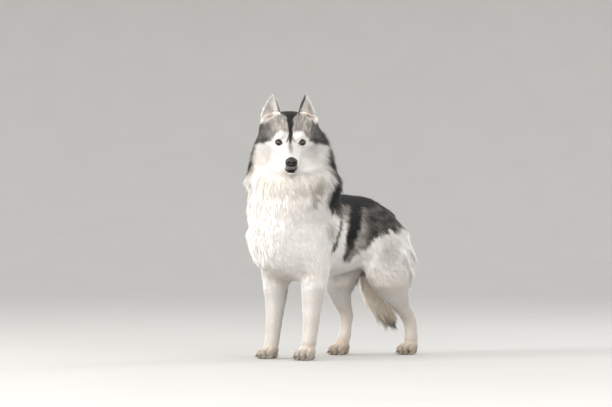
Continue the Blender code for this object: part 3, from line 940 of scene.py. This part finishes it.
def toe_furrow_shade(places):
    """1 in the furrows between the toes, near the front of each paw, where painted shade darkens
    them.
    """
    found = np.zeros(len(places))
    for (_, side), (x, y) in PAWS.items():
        out = 1 if side == "left" else -1
        offset = places - BETWEEN_PAWS - np.array((x, y, 0))
        near = step(0.055, 0.045, np.linalg.norm(offset, axis=1))
        c, s = math.cos(TOE_OUT * out), math.sin(TOE_OUT * out)
        across = (offset[:, 0] * c + offset[:, 1] * s) * out
        ahead = -(offset[:, 1] * c - offset[:, 0] * s)
        for gap in (-1, 0, 1):
            fan = gap * (TOE_SPACING + 0.10 * (ahead - 0.02))
            line = np.exp(-(((across - fan) / 0.0017) ** 2))
            found = np.maximum(found, line * near * step(0.018, 0.026, ahead))
    return found * step(0.036, 0.026, places[:, 2])


def marks(places, normals, share):
    """Darkness, difference between hairs and warmth. share has a column for each row of COAT."""
    row = {kind: share[:, k] for k, kind in enumerate(KINDS)}
    face = row["head"] + row["muzzle"] + row["lower_jaw"]
    ear, tail = row["ear"], row["tail"]
    facing = normals @ HEAD_AXES[:, 0]
    head, body = face_marks(places, facing), body_marks(places)
    rest = np.clip(1 - face - ear - tail, 0, 1)
    total = [a * face + b * rest for a, b in zip(head, body)]
    # ears: pale in front, dark behind and along the edge towards the crown
    _, left, up = to_head(places).T
    inner_edge = 0.026 + 0.025 * np.clip((up - 0.066) / 0.066, 0, 1)
    rim = step(0.0030, 0.0010, np.abs(left) - inner_edge)
    ear_dark = np.maximum(0.86 * step(-0.10, -0.45, facing), 0.75 * rim)
    total[0] += ear * ear_dark
    total[1] += ear * 0.14
    total[2] += ear * 0.10
    # tail: cream, greyer along its outer side, black at the tips of its end
    z = places[:, 2]
    total[0] += tail * (0.02 + 0.06 * step(0.2, 0.12, z) + 0.30 * step(0.42, 0.47, z))
    total[1] += tail * 0.20
    total[2] += tail * 0.78
    return total


def rosiness(places, normals, share):
    """1 where the hide of the ears shows through, low in their cups."""
    local = to_head(places)
    spread = (np.abs(local) - np.array((0.046, 0.066, 0.072))) / np.array((0.03, 0.016, 0.026))
    near = np.clip(1 - (spread**2).sum(axis=1), 0, 1)
    return near * share[:, KINDS.index("ear")] * step(0.0, 0.3, normals @ HEAD_AXES[:, 0])


# The colours of bare ear hide, white hair, cream hair, black hair or leather, and pads
ROSE = np.array((0.42, 0.25, 0.21))
WHITE = np.array((0.93, 0.905, 0.868))
CREAM = np.array((0.72, 0.57, 0.42))
BLACK = np.array((0.009, 0.009, 0.010))
HORN = np.array((0.10, 0.075, 0.06))


def coat_colour(dark, warm):
    """The colour of hair: white, warmer towards cream, and from silver to black as it darkens."""
    pale = mixed(WHITE, CREAM, np.clip(warm, 0, 1))
    dark = np.clip(dark, 0, 1)
    silver = pale * (1 - 0.60 * step(0, 0.6, dark))[:, None]
    return mixed(silver, BLACK, step(0.35, 0.95, dark))


# The lie of the coat

# For each kind of node, the way its hair lies, before it is pressed onto the skin
LIES = {
    "neck": (0.0, 0.40, -1.0),
    "chest": (0.0, 0.80, -0.62),
    "abdomen": (0.0, 0.90, -0.42),
    "rump": (0.0, 0.62, -0.75),
    "shoulder": (0.0, 0.42, -0.90),
    "thigh": (0.0, 0.62, -0.85),
    "forearm": (0.0, 0.20, -1.0),
    "shank": (0.0, 0.35, -1.0),
    "hind_pastern": (0.0, 0.10, -1.0),
    "forepaw": (0.0, -0.80, -0.75),
    "hindpaw": (0.0, -0.80, -0.75),
}


def tail_ways(places):
    """For each place, the way along the tail beside it, and its distance along it."""
    line = np.array(TAIL_LINE) + BETWEEN_PAWS
    t = np.linspace(0, len(line) - 1, 120)
    fine = np.stack([np.interp(t, range(len(line)), line[:, k]) for k in range(3)], 1)
    ways = unit(np.gradient(fine, axis=0))
    gaps = ((places[:, None, :] - fine[None]) ** 2).sum(axis=2)
    near = gaps.argmin(axis=1)
    return ways[near], near / (len(fine) - 1)


def ear_lie(local):
    """The way the hair lies on an ear: towards its tip."""
    count = len(local)
    tip = np.stack([np.full(count, -0.05), 0.055 * np.sign(local[:, 1]), np.full(count, 0.150)], 1)
    return unit(from_head(tip - local))


def face_lie(local):
    """The way the hair lies on the face: from the nose back, and down on cheeks and nape."""
    way = unit(local - np.array((0.165, 0.0, -0.030)))
    cheek = step(0.045, 0.075, np.abs(local[:, 1])) * step(0.02, -0.02, local[:, 2])
    way[:, 2] -= 0.85 * cheek
    way = unit(way)
    way[:, 2] -= 1.2 * step(-0.05, -0.09, local[:, 0])
    return from_head(way)


def pressed(ways, normals):
    """Ways with what stands out of the skin taken from them."""
    return ways - normals * (ways * normals).sum(axis=1)[:, None]


def lie_of_coat(places, normals, share, links):
    """The way the hair lies at each place, along the skin and with small swirls."""
    ways = np.zeros_like(places)
    local = to_head(places)
    for k, kind in enumerate(KINDS):
        near = share[:, k] > 1e-3
        if kind in LIES:
            way = np.broadcast_to(np.array(LIES[kind]), places[near].shape)
        elif kind == "tail":
            way = tail_ways(places[near])[0]
        elif kind == "ear":
            way = ear_lie(local[near])
        else:
            way = face_lie(local[near])
        ways[near] += share[near, k][:, None] * unit(way)
    front = step(-0.25, -0.7, normals[:, 1]) * step(0.22, 0.30, places[:, 2])
    ways += front[:, None] * np.array((0, -0.1, -0.9)) * (share[:, KINDS.index("chest")])[:, None]
    for _ in range(3):
        ways = relaxed(unit(pressed(ways, normals)), links, 4, 0.6)
    ways = unit(pressed(ways, normals))
    swirl = np.radians(13 * ripple(places, 0.055, 21) + 9 * ripple(places, 0.022, 22))
    swirl *= 1 - 0.6 * (share[:, KINDS.index("head")] + share[:, KINDS.index("muzzle")])
    beside = np.cross(normals, ways)
    return unit(ways * np.cos(swirl)[:, None] + beside * np.sin(swirl)[:, None])


def coat_sizes(places, normals, share):
    """For each place on the skin, hair length, lift, width and spacing, in metres and radians."""
    sizes = (share @ np.array([COAT[kind][1:] for kind in KINDS])).T
    row = {kind: share[:, k] for k, kind in enumerate(KINDS)}
    _, y, z = (places - BETWEEN_PAWS).T
    forward, left, up = to_head(places).T
    side = np.abs(left)
    cheek = step(0.040, -0.030, forward) * step(0.015, -0.030, up) * step(0.035, 0.060, side)
    crown = step(0.020, 0.045, up) * step(0.090, 0.070, side)
    ruff = row["head"] * np.maximum(cheek, step(-0.03, -0.07, forward)) * (1 - crown)
    cup = row["ear"] * step(-0.1, 0.4, normals @ HEAD_AXES[:, 0])
    belly = step(-0.35, -0.75, normals[:, 2]) * (row["abdomen"] + row["chest"])
    breast = step(-0.3, -0.8, normals[:, 1]) * (row["chest"] + row["neck"])
    breech = step(0.15, 0.75, normals[:, 1]) * row["thigh"] * step(0.20, 0.27, z)
    nape = step(0.0, 0.5, normals[:, 1]) * bump(z, 0.60, 0.04, 0.04) * (row["neck"] + row["chest"])
    beside = bump(z, 0.665, 0.05, 0.04) * step(0.3, 0.8, normals[:, 0]) * row["neck"]
    feather = step(0.3, 0.8, normals[:, 1]) * (row["forearm"] + row["shank"])
    # where each change applies, and what it adds to length, lift, width and spacing
    changes = [
        (row["head"] * crown, (0, -9, 0, 0)),
        (ruff, (14 + 11 * step(-0.02, 0.08, left), 10 + 5 * step(0.02, 0.08, left), 0.5, 0.65)),
        (row["head"] * step(0.012, 0.040, forward), (-5.0, 0, -0.3, -0.35)),
        (cup, (4 + 9 * step(0.115, 0.080, up), 8, 0, 0)),
        (belly, (-14, 0, 0, 0)),
        (breast, (8, 0, 0, 0)),
        (breech, (22, 14, 0, 0)),
        (np.maximum(nape, beside), (14, 14, 0, 0)),
        (row["tail"] * step(0.28, 0.16, z), (12, 8, 0, 0)),
        (feather, (7, 5, 0, 0)),
    ]
    for weight, change in changes:
        for size, amount in zip(sizes, change):
            size += weight * amount
    # close where the tail and the breeches stand out furthest behind
    back = step(0.555, 0.600, y)
    length, lift, width, spacing = sizes
    length *= 1 - 0.22 * back
    lift *= 1 - 0.35 * back
    return length * 1e-3, np.radians(lift), width * 1e-3, spacing * 1e-3


# Tufts


def scattered(places, faces, spacing, clear, seed):
    """Points on the skin, about one to a cell of its own spacing: their triangle and weights."""
    draw = np.random.default_rng(seed)
    corners = places[faces]
    across = np.cross(corners[:, 1] - corners[:, 0], corners[:, 2] - corners[:, 0])
    area = 0.5 * np.linalg.norm(across, axis=1) * clear[faces].min(axis=1)
    gap = spacing[faces].mean(axis=1)
    weight = area / gap**2
    total = np.cumsum(weight)
    pick = np.searchsorted(total, draw.uniform(0, total[-1], int(total[-1] * 4)))
    a, b = draw.uniform(size=(2, len(pick)))
    over = a + b > 1
    a[over], b[over] = 1 - a[over], 1 - b[over]
    shares = np.stack([1 - a - b, a, b], 1)
    points = (corners[pick] * shares[:, :, None]).sum(axis=1)
    size = np.round(gap[pick] * 1e4) * 1e-4
    cell = np.floor(points / size[:, None]).astype(np.int64) + 4096
    keys = ((cell[:, 0] << 26) | (cell[:, 1] << 13) | cell[:, 2]) * 128
    keys += np.round(size * 1e4).astype(np.int64) % 128
    chosen = np.unique(keys, return_index=True)[1]
    return pick[chosen], shares[chosen], points[chosen]


def tuft_lines(tufts, rings):
    """The middle line of each tuft, from its root in the skin over its bends to its tip."""
    root, normal, way = tufts["root"], tufts["normal"], tufts["way"]
    length, lift = tufts["length"], tufts["lift"]
    beside = np.cross(normal, way)
    bend = lift * 0.15 - np.radians(4)
    stations = np.linspace(0, 1, rings + 1)
    line = [root - normal * np.minimum(0.0010, 0.05 * length)[:, None]]
    for last, t in zip(stations, stations[1:]):
        mid = (t + last) / 2
        angle = lift + (bend - lift) * mid
        run = way * np.cos(angle)[:, None] + normal * np.sin(angle)[:, None]
        run = run + beside * (tufts["sway"] * mid * 1.6)[:, None]
        line.append(line[-1] + run * (length * (t - last))[:, None])
    return np.stack(line, axis=1)


def cleared(tree, line, height):
    """The lines with bends and tips moved out until they stand that high above the skin."""
    stations = line.shape[1]
    for k in range(1, stations):
        found = [tree.find_nearest(point)[:2] for point in line[:, k].tolist()]
        near, out = (np.array([pair[n][:] for pair in found]) for n in (0, 1))
        gap = ((line[:, k] - near) * out).sum(axis=1)
        rise = np.clip(height * k / (stations - 1) - gap, 0, None)
        line[:, k] += out * rise[:, None]
    return line


# How far above the floor hair keeps, and the breadth of a tuft's patch of the unwrap
LOWEST = 0.0004
UV_PATCH = 0.003


def tuft_shapes(line, normal, width):
    """Vertices and outward ways of tapered solid tufts, each of three-cornered rings and a tip."""
    count, rings = len(line), line.shape[1] - 1
    verts = np.empty((count, rings * 3 + 1, 3))
    outs = np.empty_like(verts)
    for k in range(rings):
        run = unit(line[:, k + 1] - line[:, k])
        beside = unit(np.cross(normal, run))
        above = np.cross(run, beside)
        half = (width * (0.43 if k == 0 and rings > 1 else 0.5))[:, None]
        verts[:, 3 * k] = line[:, k] - beside * half - above * half * 0.25
        verts[:, 3 * k + 1] = line[:, k] + beside * half - above * half * 0.25
        verts[:, 3 * k + 2] = line[:, k] + above * half * 0.55
        outs[:, 3 * k] = unit(normal - beside * 0.35)
        outs[:, 3 * k + 1] = unit(normal + beside * 0.35)
        outs[:, 3 * k + 2] = normal
    verts[:, -1] = line[:, -1]
    outs[:, -1] = unit(normal + run * 0.25)
    verts[..., 2] = np.maximum(verts[..., 2], LOWEST)
    return verts, outs


def tuft_faces(rings):
    """The triangles of one tuft."""
    faces = [(0, 2, 1)]
    for k in range(rings - 1):
        for j in range(3):
            a, b = 3 * k + j, 3 * k + (j + 1) % 3
            faces += [(a, b, b + 3), (a, b + 3, a + 3)]
    tip = rings * 3
    base = 3 * (rings - 1)
    faces += [(base + j, base + (j + 1) % 3, tip) for j in range(3)]
    return np.array(faces)


def tuft_patch(rings):
    """Where each vertex of a tuft lies in its own small patch of the unwrap."""
    spots = []
    for k in range(rings):
        spots += [(-0.5, k / rings - 0.5), (0.5, k / rings - 0.5), (0.0, k / rings - 0.5)]
    return np.array([*spots, (0.0, 0.5)]) * UV_PATCH


def ridden(mesh, name, nodes=()):
    """A piece that rides on the body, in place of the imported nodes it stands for."""
    made = bpy.data.objects.new(name, mesh)
    bpy.context.scene.collection.objects.link(made)
    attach(made, "root")
    if nodes:
        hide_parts(*nodes)


def paint(mesh, colours):
    """A colour for each vertex."""
    layer = mesh.color_attributes.new("Coat", "FLOAT_COLOR", "POINT")
    rgba = np.ones((len(colours), 4), np.float32)
    rgba[:, :3] = colours
    layer.data.foreach_set("color", rgba.ravel())


def lay_out(mesh, spots):
    """A place in the unwrap for each corner of each triangle."""
    layer = mesh.uv_layers.new(name="OFBake")
    layer.data.foreach_set("uv", spots.astype(np.float32).ravel())


def hair_material(name, roughness, grain):
    """Hair or hide whose colour is painted on its vertices, broken up by fine streaks."""
    look = {
        "Roughness": roughness,
        "Specular IOR Level": 0.12,
        "Subsurface Weight": 0.5,
        "Subsurface Radius": (1.0, 0.9, 0.8),
        "Subsurface Scale": 0.004,
        "Sheen Weight": 0.02,
        "Sheen Roughness": 0.5,
    }
    material, tree, shader = new_material(name, look)
    noise = add_noise(tree, grain, 2.0)
    shift = tree.nodes.new("ShaderNodeMapRange")
    shift.inputs["To Min"].default_value = 0.86
    shift.inputs["To Max"].default_value = 1.12
    tree.links.new(noise.outputs["Fac"], shift.inputs["Value"])
    scale = tree.nodes.new("ShaderNodeVectorMath")
    scale.operation = "SCALE"
    tree.links.new(painted_colour(tree), scale.inputs[0])
    tree.links.new(shift.outputs["Result"], scale.inputs["Scale"])
    tree.links.new(scale.outputs["Vector"], shader.inputs["Base Color"])
    return material


def unwrap(mesh):
    """The skin's unwrap, by angle, as one corner's UV for each triangle corner."""
    holder = holder_of(mesh)
    bpy.context.view_layer.objects.active = holder
    holder.select_set(True)
    bpy.ops.object.mode_set(mode="EDIT")
    bpy.ops.mesh.select_all(action="SELECT")
    bpy.ops.uv.smart_project(angle_limit=math.radians(66), island_margin=0.001)
    bpy.ops.object.mode_set(mode="OBJECT")
    found = np.empty(len(mesh.loops) * 2, np.float32)
    mesh.uv_layers.active.data.foreach_get("uv", found)
    bpy.data.objects.remove(holder)
    return found.reshape(-1, 3, 2)


# The pieces of the coat: their name, the rows of COAT they take, and a slot name, which is not
# used
PIECES = [
    ("coat_face", ("head", "muzzle", "lower_jaw"), "white_coat"),
    ("coat_ears", ("ear",), "grey_coat"),
    ("coat_neck", ("neck",), "white_coat"),
    ("coat_breast", ("chest",), "white_coat"),
    ("coat_flanks", ("abdomen",), "grey_coat"),
    ("coat_croup", ("rump",), "grey_coat"),
    ("coat_shoulders", ("shoulder",), "white_coat"),
    ("coat_breeches", ("thigh",), "white_coat"),
    ("coat_legs", ("forearm", "shank", "hind_pastern"), "white_coat"),
    ("coat_paws", ("forepaw", "hindpaw"), "cream_coat"),
    ("coat_tail", ("tail",), "cream_coat"),
]
# A piece that would have more triangles than this is parted
MOST_TRIANGLES = 190_000


def bare(places):
    """0 on eyes, lids' edges, nose, lips and soles, where no hair grows, and 1 elsewhere."""
    clear = np.ones(len(places))
    for side in (1, -1):
        away, _, opening = lid_place(places, side)
        clear *= (opening > 1.70) | (away > 0.020)
    clear *= eye_corners(places) < 0.15
    local = to_head(places)
    nose = (local - NOSE_PLACE) / (NOSE_RADII * 1.12)
    clear *= (nose**2).sum(axis=1) > 1
    gap = local[:, 2] - lip_height(local[:, 0])
    wide = 0.0009 + 0.0046 * lip_front(local)
    lips = np.abs(gap - 0.5 * wide) < wide
    lips &= (local[:, 0] > LIP_END) & (local[:, 2] > -0.078)
    clear *= ~lips
    clear *= places[:, 2] > 0.0035
    return clear


def skin_colour(places, share, normals):
    """The hide: the coat's own colours darkened as painted shade, with dark lids, lips and soles,
    and rosy ears.
    """
    dark, _, warm = marks(places, normals, share)
    # painted shade: the hide darker than the hair, as dark as the coat looks where it shades
    # itself
    colour = coat_colour(dark, warm) * 0.86
    colour = mixed(colour, ROSE, rosiness(places, normals, share))
    for side in (1, -1):
        away, _, opening = lid_place(places, side)
        rim = step(2.2, 1.75, opening) * (away < 0.020)
        colour = mixed(colour, BLACK, rim)
    colour = mixed(colour, BLACK, step(0.0, 0.35, eye_corners(places)))
    local = to_head(places)
    forward, _, up = local.T
    gap = up - lip_height(forward)
    wide = 0.0009 + 0.0050 * lip_front(local)
    lips = step(wide + 0.001, wide, np.abs(gap - 0.6 * wide))
    lips *= step(LIP_END - 0.004, LIP_END + 0.006, forward)
    lips *= step(-0.080, -0.074, up)
    colour = mixed(colour, BLACK, lips)
    nose = np.linalg.norm((local - NOSE_PLACE) / NOSE_RADII, axis=1)
    colour = mixed(colour, BLACK, step(1.22, 1.10, nose))
    # painted shade: the furrows between the toes made nearly black
    colour = mixed(colour, BLACK, 0.85 * toe_furrow_shade(places))
    colour = mixed(colour, HORN, step(0.004, 0.002, places[:, 2]))
    return colour


# Rings of corners up a tuft before its tip: short hairs are straight
RINGS, SHORT_RINGS = 2, 1
SHORT_COATS = ("coat_face", "coat_ears", "coat_legs", "coat_paws")


def tuft_colours(root, normal, rows, tangle, draw):
    """The colours of each tuft at its root, its middle and its tip, with painted shade at the root
    and in the furrows between the toes.
    """
    count = len(root)
    dark, differ, warm = marks(root, normal, rows)
    rosy = rosiness(root, normal, rows)[:, None] * 0.6
    dark = dark + differ * draw.uniform(-0.5, 0.5, count) + differ * 0.25 * tangle
    warm = warm + draw.uniform(-0.06, 0.06, count)
    tail = rows[:, KINDS.index("tail")]
    along = tail_ways(root)[1]
    tips = dark + 0.20 * step(0.2, 0.5, dark) + tail * 0.90 * step(0.58, 0.80, along)
    dark = dark + tail * 0.34 * step(0.70, 0.90, along)
    glow = draw.uniform(0.94, 1.05, count)[:, None]
    gaps = toe_furrow_shade(root)[:, None]
    tints = [
        # the root: the paler undercoat, a little darker as painted shade where the hairs shade
        # each other; then the middle; then the tip, a little lighter
        coat_colour(dark * 0.80, warm + 0.06) * 0.96 * glow,
        coat_colour(dark, warm) * glow,
        coat_colour(tips, warm - 0.04) * (glow * 1.02),
    ]
    for k, colour in enumerate(tints):
        colour = colour + (ROSE - colour) * rosy
        # painted shade in the furrows between the toes, on the tufts rooted there
        tints[k] = colour + (BLACK - colour) * gaps * 0.9
    return np.stack(tints, axis=1)


def rooted_tufts(places, faces, share, normals, unwrapped):
    """The tufts as named columns: root, size, stance, colours and place in the unwrap."""
    ways = lie_of_coat(places, normals, share, links_of(faces))
    length, lift, width, spacing = coat_sizes(places, normals, share)
    pick, shares, root = scattered(places, faces, spacing, bare(places), SEED)
    draw = np.random.default_rng(SEED + 1)
    count = len(root)

    def carried(values):
        """Values at the skin's vertices carried to the roots."""
        corner = values[faces[pick]]
        weight = shares if values.ndim == 1 else shares[:, :, None]
        return (corner * weight).sum(axis=1)

    normal = unit(carried(normals))
    rows = carried(share)
    tangle = ripple(root, 0.020, 31) * 0.6 + ripple(root, 0.009, 32) * 0.4
    tufts = {
        "root": root,
        "normal": normal,
        "way": unit(pressed(carried(ways), normal)),
        "length": carried(length) * draw.uniform(0.78, 1.18, count) * (1 + 0.10 * tangle),
        "lift": carried(lift) * draw.uniform(0.80, 1.16, count) * (1 + 0.09 * tangle),
        "width": carried(width) * draw.uniform(0.80, 1.20, count),
        "sway": draw.normal(0, 0.08, count) + 0.06 * ripple(root, 0.016, 33),
        "kind": rows.argmax(axis=1),
        "spot": (unwrapped[pick] * shares[:, :, None]).sum(axis=1),
    }
    tufts["least"] = np.clip(0.45 * tufts["length"] * np.sin(tufts["lift"]), 0.0006, 0.0045)
    tufts["colours"] = tuft_colours(root, normal, rows, tangle, draw)
    return tufts


def tuft_mesh(name, tufts, rings, tree):
    """One mesh of tufts, with its colours, its unwrap and its shading."""
    line = cleared(tree, tuft_lines(tufts, rings), tufts["least"])
    verts, outs = tuft_shapes(line, tufts["normal"], tufts["width"])
    start = np.arange(len(verts))[:, None, None] * verts.shape[1]
    triangles = (tuft_faces(rings)[None] + start).reshape(-1, 3)
    mesh = mesh_of(name, verts.reshape(-1, 3), triangles)
    along = np.repeat(np.arange(rings) / rings if rings > 1 else [0.25], 3)
    along = np.append(along, 1.0)[None, :, None]
    low = np.clip(along * 2, 0, 1)
    high = np.clip(along * 2 - 1, 0, 1)
    a, b, c = (tufts["colours"][:, None, k] for k in range(3))
    colours = (a + (b - a) * low) + (c - b) * high
    paint(mesh, colours.reshape(-1, 3))
    spots = tufts["spot"][:, None] + tuft_patch(rings)[None]
    lay_out(mesh, spots.reshape(-1, 2)[triangles.ravel()])
    mesh.normals_split_custom_set_from_vertices(outs.reshape(-1, 3).tolist())
    return mesh


def grow_coat(places, faces, share, normals, unwrapped):
    """The pieces of the coat. A large one is parted from right to left."""
    tufts = rooted_tufts(places, faces, share, normals, unwrapped)
    tree = BVHTree.FromPolygons(places.tolist(), faces.tolist())
    material = hair_material("hair", 0.72, 260.0)
    for name, kinds, slot in PIECES:
        rings = SHORT_RINGS if name in SHORT_COATS else RINGS
        mine = np.flatnonzero(np.isin(tufts["kind"], [KINDS.index(kind) for kind in kinds]))
        parts = max(1, math.ceil(len(mine) * len(tuft_faces(rings)) / MOST_TRIANGLES))
        across = tufts["root"][mine] @ np.array((1.0, 0.15, 0.0))
        mine = mine[np.argsort(across, kind="stable")]
        for number, chosen in enumerate(np.array_split(mine, parts), start=1):
            part_name = f"{name}_{number}" if parts > 1 else name
            part = {column: values[chosen] for column, values in tufts.items()}
            mesh = tuft_mesh(part_name, part, rings, tree)
            mesh.materials.append(material)
            ridden(mesh, part_name)


# Eyes, nose, claws and whiskers


def ball_arrays(fineness):
    """A ball of radius 1 as vertices and triangles."""
    form = bmesh.new()
    bmesh.ops.create_icosphere(form, subdivisions=fineness, radius=1.0)
    return arrays_of(mesh_from(form))


# How far the iris and the pupil reach round the ball from the middle of the gaze
IRIS, PUPIL = math.radians(38.0), math.radians(17.0)


def eye_material():
    """A wet eye whose painted colours are broken up by fine specks."""
    look = {
        "Roughness": 0.12,
        "Specular IOR Level": 0.3,
        "Coat Weight": 0.6,
        "Coat Roughness": 0.02,
    }
    material, tree, shader = new_material("eye", look)
    noise = add_noise(tree, 900.0, 2.0)
    mix = tree.nodes.new("ShaderNodeMix")
    mix.data_type = "RGBA"
    mix.blend_type = "MULTIPLY"
    mix.inputs["Factor"].default_value = 0.35
    tree.links.new(painted_colour(tree), mix.inputs["A"])
    tree.links.new(noise.outputs["Color"], mix.inputs["B"])
    tree.links.new(mix.outputs["Result"], shader.inputs["Base Color"])
    return material


def add_eye(name, side, material):
    """A ball with a raised cornea, a fibred brown iris and a round pupil."""
    middle, gaze, out, _ = eye_axes(side)
    ball, faces = ball_arrays(5)
    angle = np.arccos(np.clip(ball[:, 2], -1, 1))
    around = np.arctan2(ball[:, 1], ball[:, 0])
    swell = 1 + 0.055 * step(IRIS * 1.15, IRIS * 0.35, angle)
    axes = np.stack([out, np.cross(gaze, out), gaze])
    places = (ball * swell[:, None] * EYE_RADIUS) @ axes + middle
    fibres = 0.5 + 0.5 * np.sin(around * 23 + 2.0 * np.sin(around * 7)) * np.sin(angle * 60)
    iris = mixed(np.array((0.030, 0.012, 0.006)), np.array((0.085, 0.034, 0.014)), fibres * 0.8)
    white = np.broadcast_to(np.array((0.05, 0.035, 0.030)), places.shape)
    colour = mixed(iris, white, step(IRIS * 0.97, IRIS * 1.08, angle))
    colour = mixed(colour, BLACK, 0.9 * bump(angle, IRIS, 0.02, 0.09))
    colour = mixed(colour, BLACK * 0.4, step(PUPIL * 1.12, PUPIL * 0.95, angle))
    mesh = mesh_of(name, places, faces)
    paint(mesh, colour)
    mesh.materials.append(material)
    ridden(mesh, name, [name])


def nose_material():
    """Black pebbled leather."""
    look = {
        "Roughness": 0.42,
        "Specular IOR Level": 0.30,
        "Coat Weight": 0.08,
        "Coat Roughness": 0.30,
    }
    material, tree, shader = new_material("nose_leather", look)
    tree.links.new(painted_colour(tree), shader.inputs["Base Color"])
    cells = tree.nodes.new("ShaderNodeTexVoronoi")
    cells.inputs["Scale"].default_value = 950.0
    coordinates = tree.nodes.new("ShaderNodeTexCoord")
    tree.links.new(coordinates.outputs["Object"], cells.inputs["Vector"])
    add_bump(tree, shader, cells.outputs["Distance"], 0.5, 0.0004)
    return material


def nose_hollows(across, height):
    """How deep the nostrils, their side slits and the middle furrow are, and a nostril's rim."""
    pit = ((across - 0.0082) / 0.0044) ** 2 + ((height - 0.0006) / 0.0038) ** 2
    slit_at = -0.0010 - 0.42 * (across - 0.0095)
    slit = np.exp(-(((height - slit_at) / 0.0010) ** 2))
    slit *= step(0.0090, 0.0110, across) * step(0.0176, 0.0155, across)
    furrow = np.exp(-((across / 0.0010) ** 2)) * step(0.0015, -0.003, height)
    depth = greatest(0.0078 * np.clip(1 - pit, 0, 1) ** 0.6, 0.0026 * slit, 0.0018 * furrow)
    rim = np.exp(-(((np.sqrt(pit) - 1.35) / 0.22) ** 2)) * 0.0007
    return depth, rim


def add_nose():
    """The bare leather in front of the muzzle, with painted shade in its hollows."""
    ball, faces = ball_arrays(5)
    forward, left, up = ball.T.copy()
    left = left * (1 - 0.38 * step(-0.20, -1.0, up)) * (1 - 0.14 * step(-0.10, 0.90, up))
    left = np.sign(left) * np.abs(left) ** 0.92
    forward = np.where(forward > 0, forward * 0.90, forward)
    places = np.stack([forward, left, up], 1) * NOSE_RADII
    depth, rim = nose_hollows(np.abs(places[:, 1]), places[:, 2])
    places[:, 0] -= (depth - rim) * step(-0.002, 0.004, places[:, 0])
    pebbles = ripple(places, 0.0016, 41) * 0.00006
    places *= (1 + pebbles / 0.015)[:, None]
    places += NOSE_PLACE
    mesh = mesh_of("nose", to_frame(places), faces)
    leather = np.broadcast_to(np.array((0.013, 0.0125, 0.0135)), places.shape)
    # painted shade: the nostrils, slits and furrow darker the deeper they are
    paint(mesh, mixed(leather, BLACK * 0.3, np.clip(depth / 0.003, 0, 1)))
    mesh.materials.append(nose_material())
    ridden(mesh, "nose", ["nose"])


def tube_arrays(line, radii, sides, flat=1.0):
    """A closed tapering tube along a line of points."""
    line = np.array(line)
    ways = unit(np.gradient(line, axis=0))
    beside = unit(np.cross(ways, (0.0, 0.0, 1.0)))
    above = np.cross(beside, ways)
    turn = np.linspace(0, 2 * math.pi, sides, endpoint=False)
    ring = np.cos(turn)[None, :, None] * beside[:, None] * flat
    ring = ring + np.sin(turn)[None, :, None] * above[:, None]
    places = line[:, None] + ring * np.array(radii)[:, None, None]
    faces = []
    for k in range(len(line) - 1):
        for j in range(sides):
            a, b = k * sides + j, k * sides + (j + 1) % sides
            faces += [(a, b, b + sides), (a, b + sides, a + sides)]
    last = (len(line) - 1) * sides
    for j in range(1, sides - 1):
        faces += [(0, j + 1, j), (last, last + j, last + j + 1)]
    return places.reshape(-1, 3), np.array(faces)


def joined(parts):
    """Several (vertices, triangles) as one."""
    start, places, faces = 0, [], []
    for part, triangles in parts:
        places.append(part)
        faces.append(triangles + start)
        start += len(part)
    return np.vstack(places), np.vstack(faces)


def add_claws(kind, side, material):
    """The four curved claws of one paw, rooted in the toes."""
    parts = []
    for toe, ahead in toe_places(kind, side):
        t = np.linspace(0, 1, 9)
        line = np.array(toe) + np.array(ahead) * (0.009 + 0.0150 * t)[:, None]
        line[:, 2] = 0.0145 - 0.0088 * t**1.7
        radii = 0.0025 * (1 - t) ** 0.55 + 0.0004
        parts.append(tube_arrays(line, radii, 10, 0.75))
    places, faces = joined(parts)
    name = f"claws_{kind}_{side}"
    mesh = mesh_of(name, places, faces)
    mesh.materials.append(material)
    nodes = [f"claw_{kind}_{side}_{k}" for k in (1, 2, 3, 4)]
    ridden(mesh, name, nodes)


def claw_material():
    """Dark horn."""
    material, tree, shader = new_material("claw", {"Roughness": 0.42})
    noise = add_clouds(tree, shader, 420.0, 4.0, (0.045, 0.036, 0.030), (0.16, 0.125, 0.10))
    add_bump(tree, shader, noise.outputs["Fac"], 0.3, 0.0003)
    return material


def add_whiskers():
    """Stiff pale hairs swept back from the pads of the upper lip."""
    draw = np.random.default_rng(SEED + 5)
    parts = []
    for side in (1, -1):
        for row in range(4):
            for k in range(5):
                root = np.array((0.120 - 0.010 * k, 0.0, -0.034 - 0.0052 * row))
                root[1] = side * (0.0225 + 0.0020 * k)
                size = draw.uniform(0.028, 0.046) * (0.75 + 0.12 * k)
                t = np.linspace(0, 1, 7)[:, None]
                out = np.array((-0.05, side * 0.86, -0.18 - 0.10 * row)) + draw.normal(0, 0.10, 3)
                back = np.array((-0.55, 0.0, -0.10))
                line = root + size * (out * t + back * t**2)
                radii = 0.00030 * (1 - t[:, 0]) + 0.00005
                parts.append(tube_arrays(to_frame(line), radii, 5))
    places, faces = joined(parts)
    mesh = mesh_of("whiskers", places, faces)
    material, tree, shader = new_material("whisker", {"Roughness": 0.45})
    add_clouds(tree, shader, 60.0, 3.0, (0.55, 0.52, 0.48), (0.86, 0.84, 0.80))
    mesh.materials.append(material)
    ridden(mesh, "whiskers")


def build_dog():
    """The skin, its coat, and what stands out of them."""
    places, faces, share = make_skin()
    normals = normals_of(places, faces)
    unwrapped = unwrap(mesh_of("unwrap", places, faces))
    skin = mesh_of("skin", places, faces)
    lay_out(skin, unwrapped)
    paint(skin, skin_colour(places, share, normals))
    skin.materials.append(hair_material("hide", 0.8, 180.0))
    ridden(skin, "skin", list(FLESH))
    grow_coat(places, faces, share, normals, unwrapped)
    eye = eye_material()
    add_eye("eye_left", 1, eye)
    add_eye("eye_right", -1, eye)
    add_nose()
    add_whiskers()
    claw = claw_material()
    for kind, side in PAWS:
        add_claws(kind, side, claw)


add_camera()
add_stage()
build_dog()
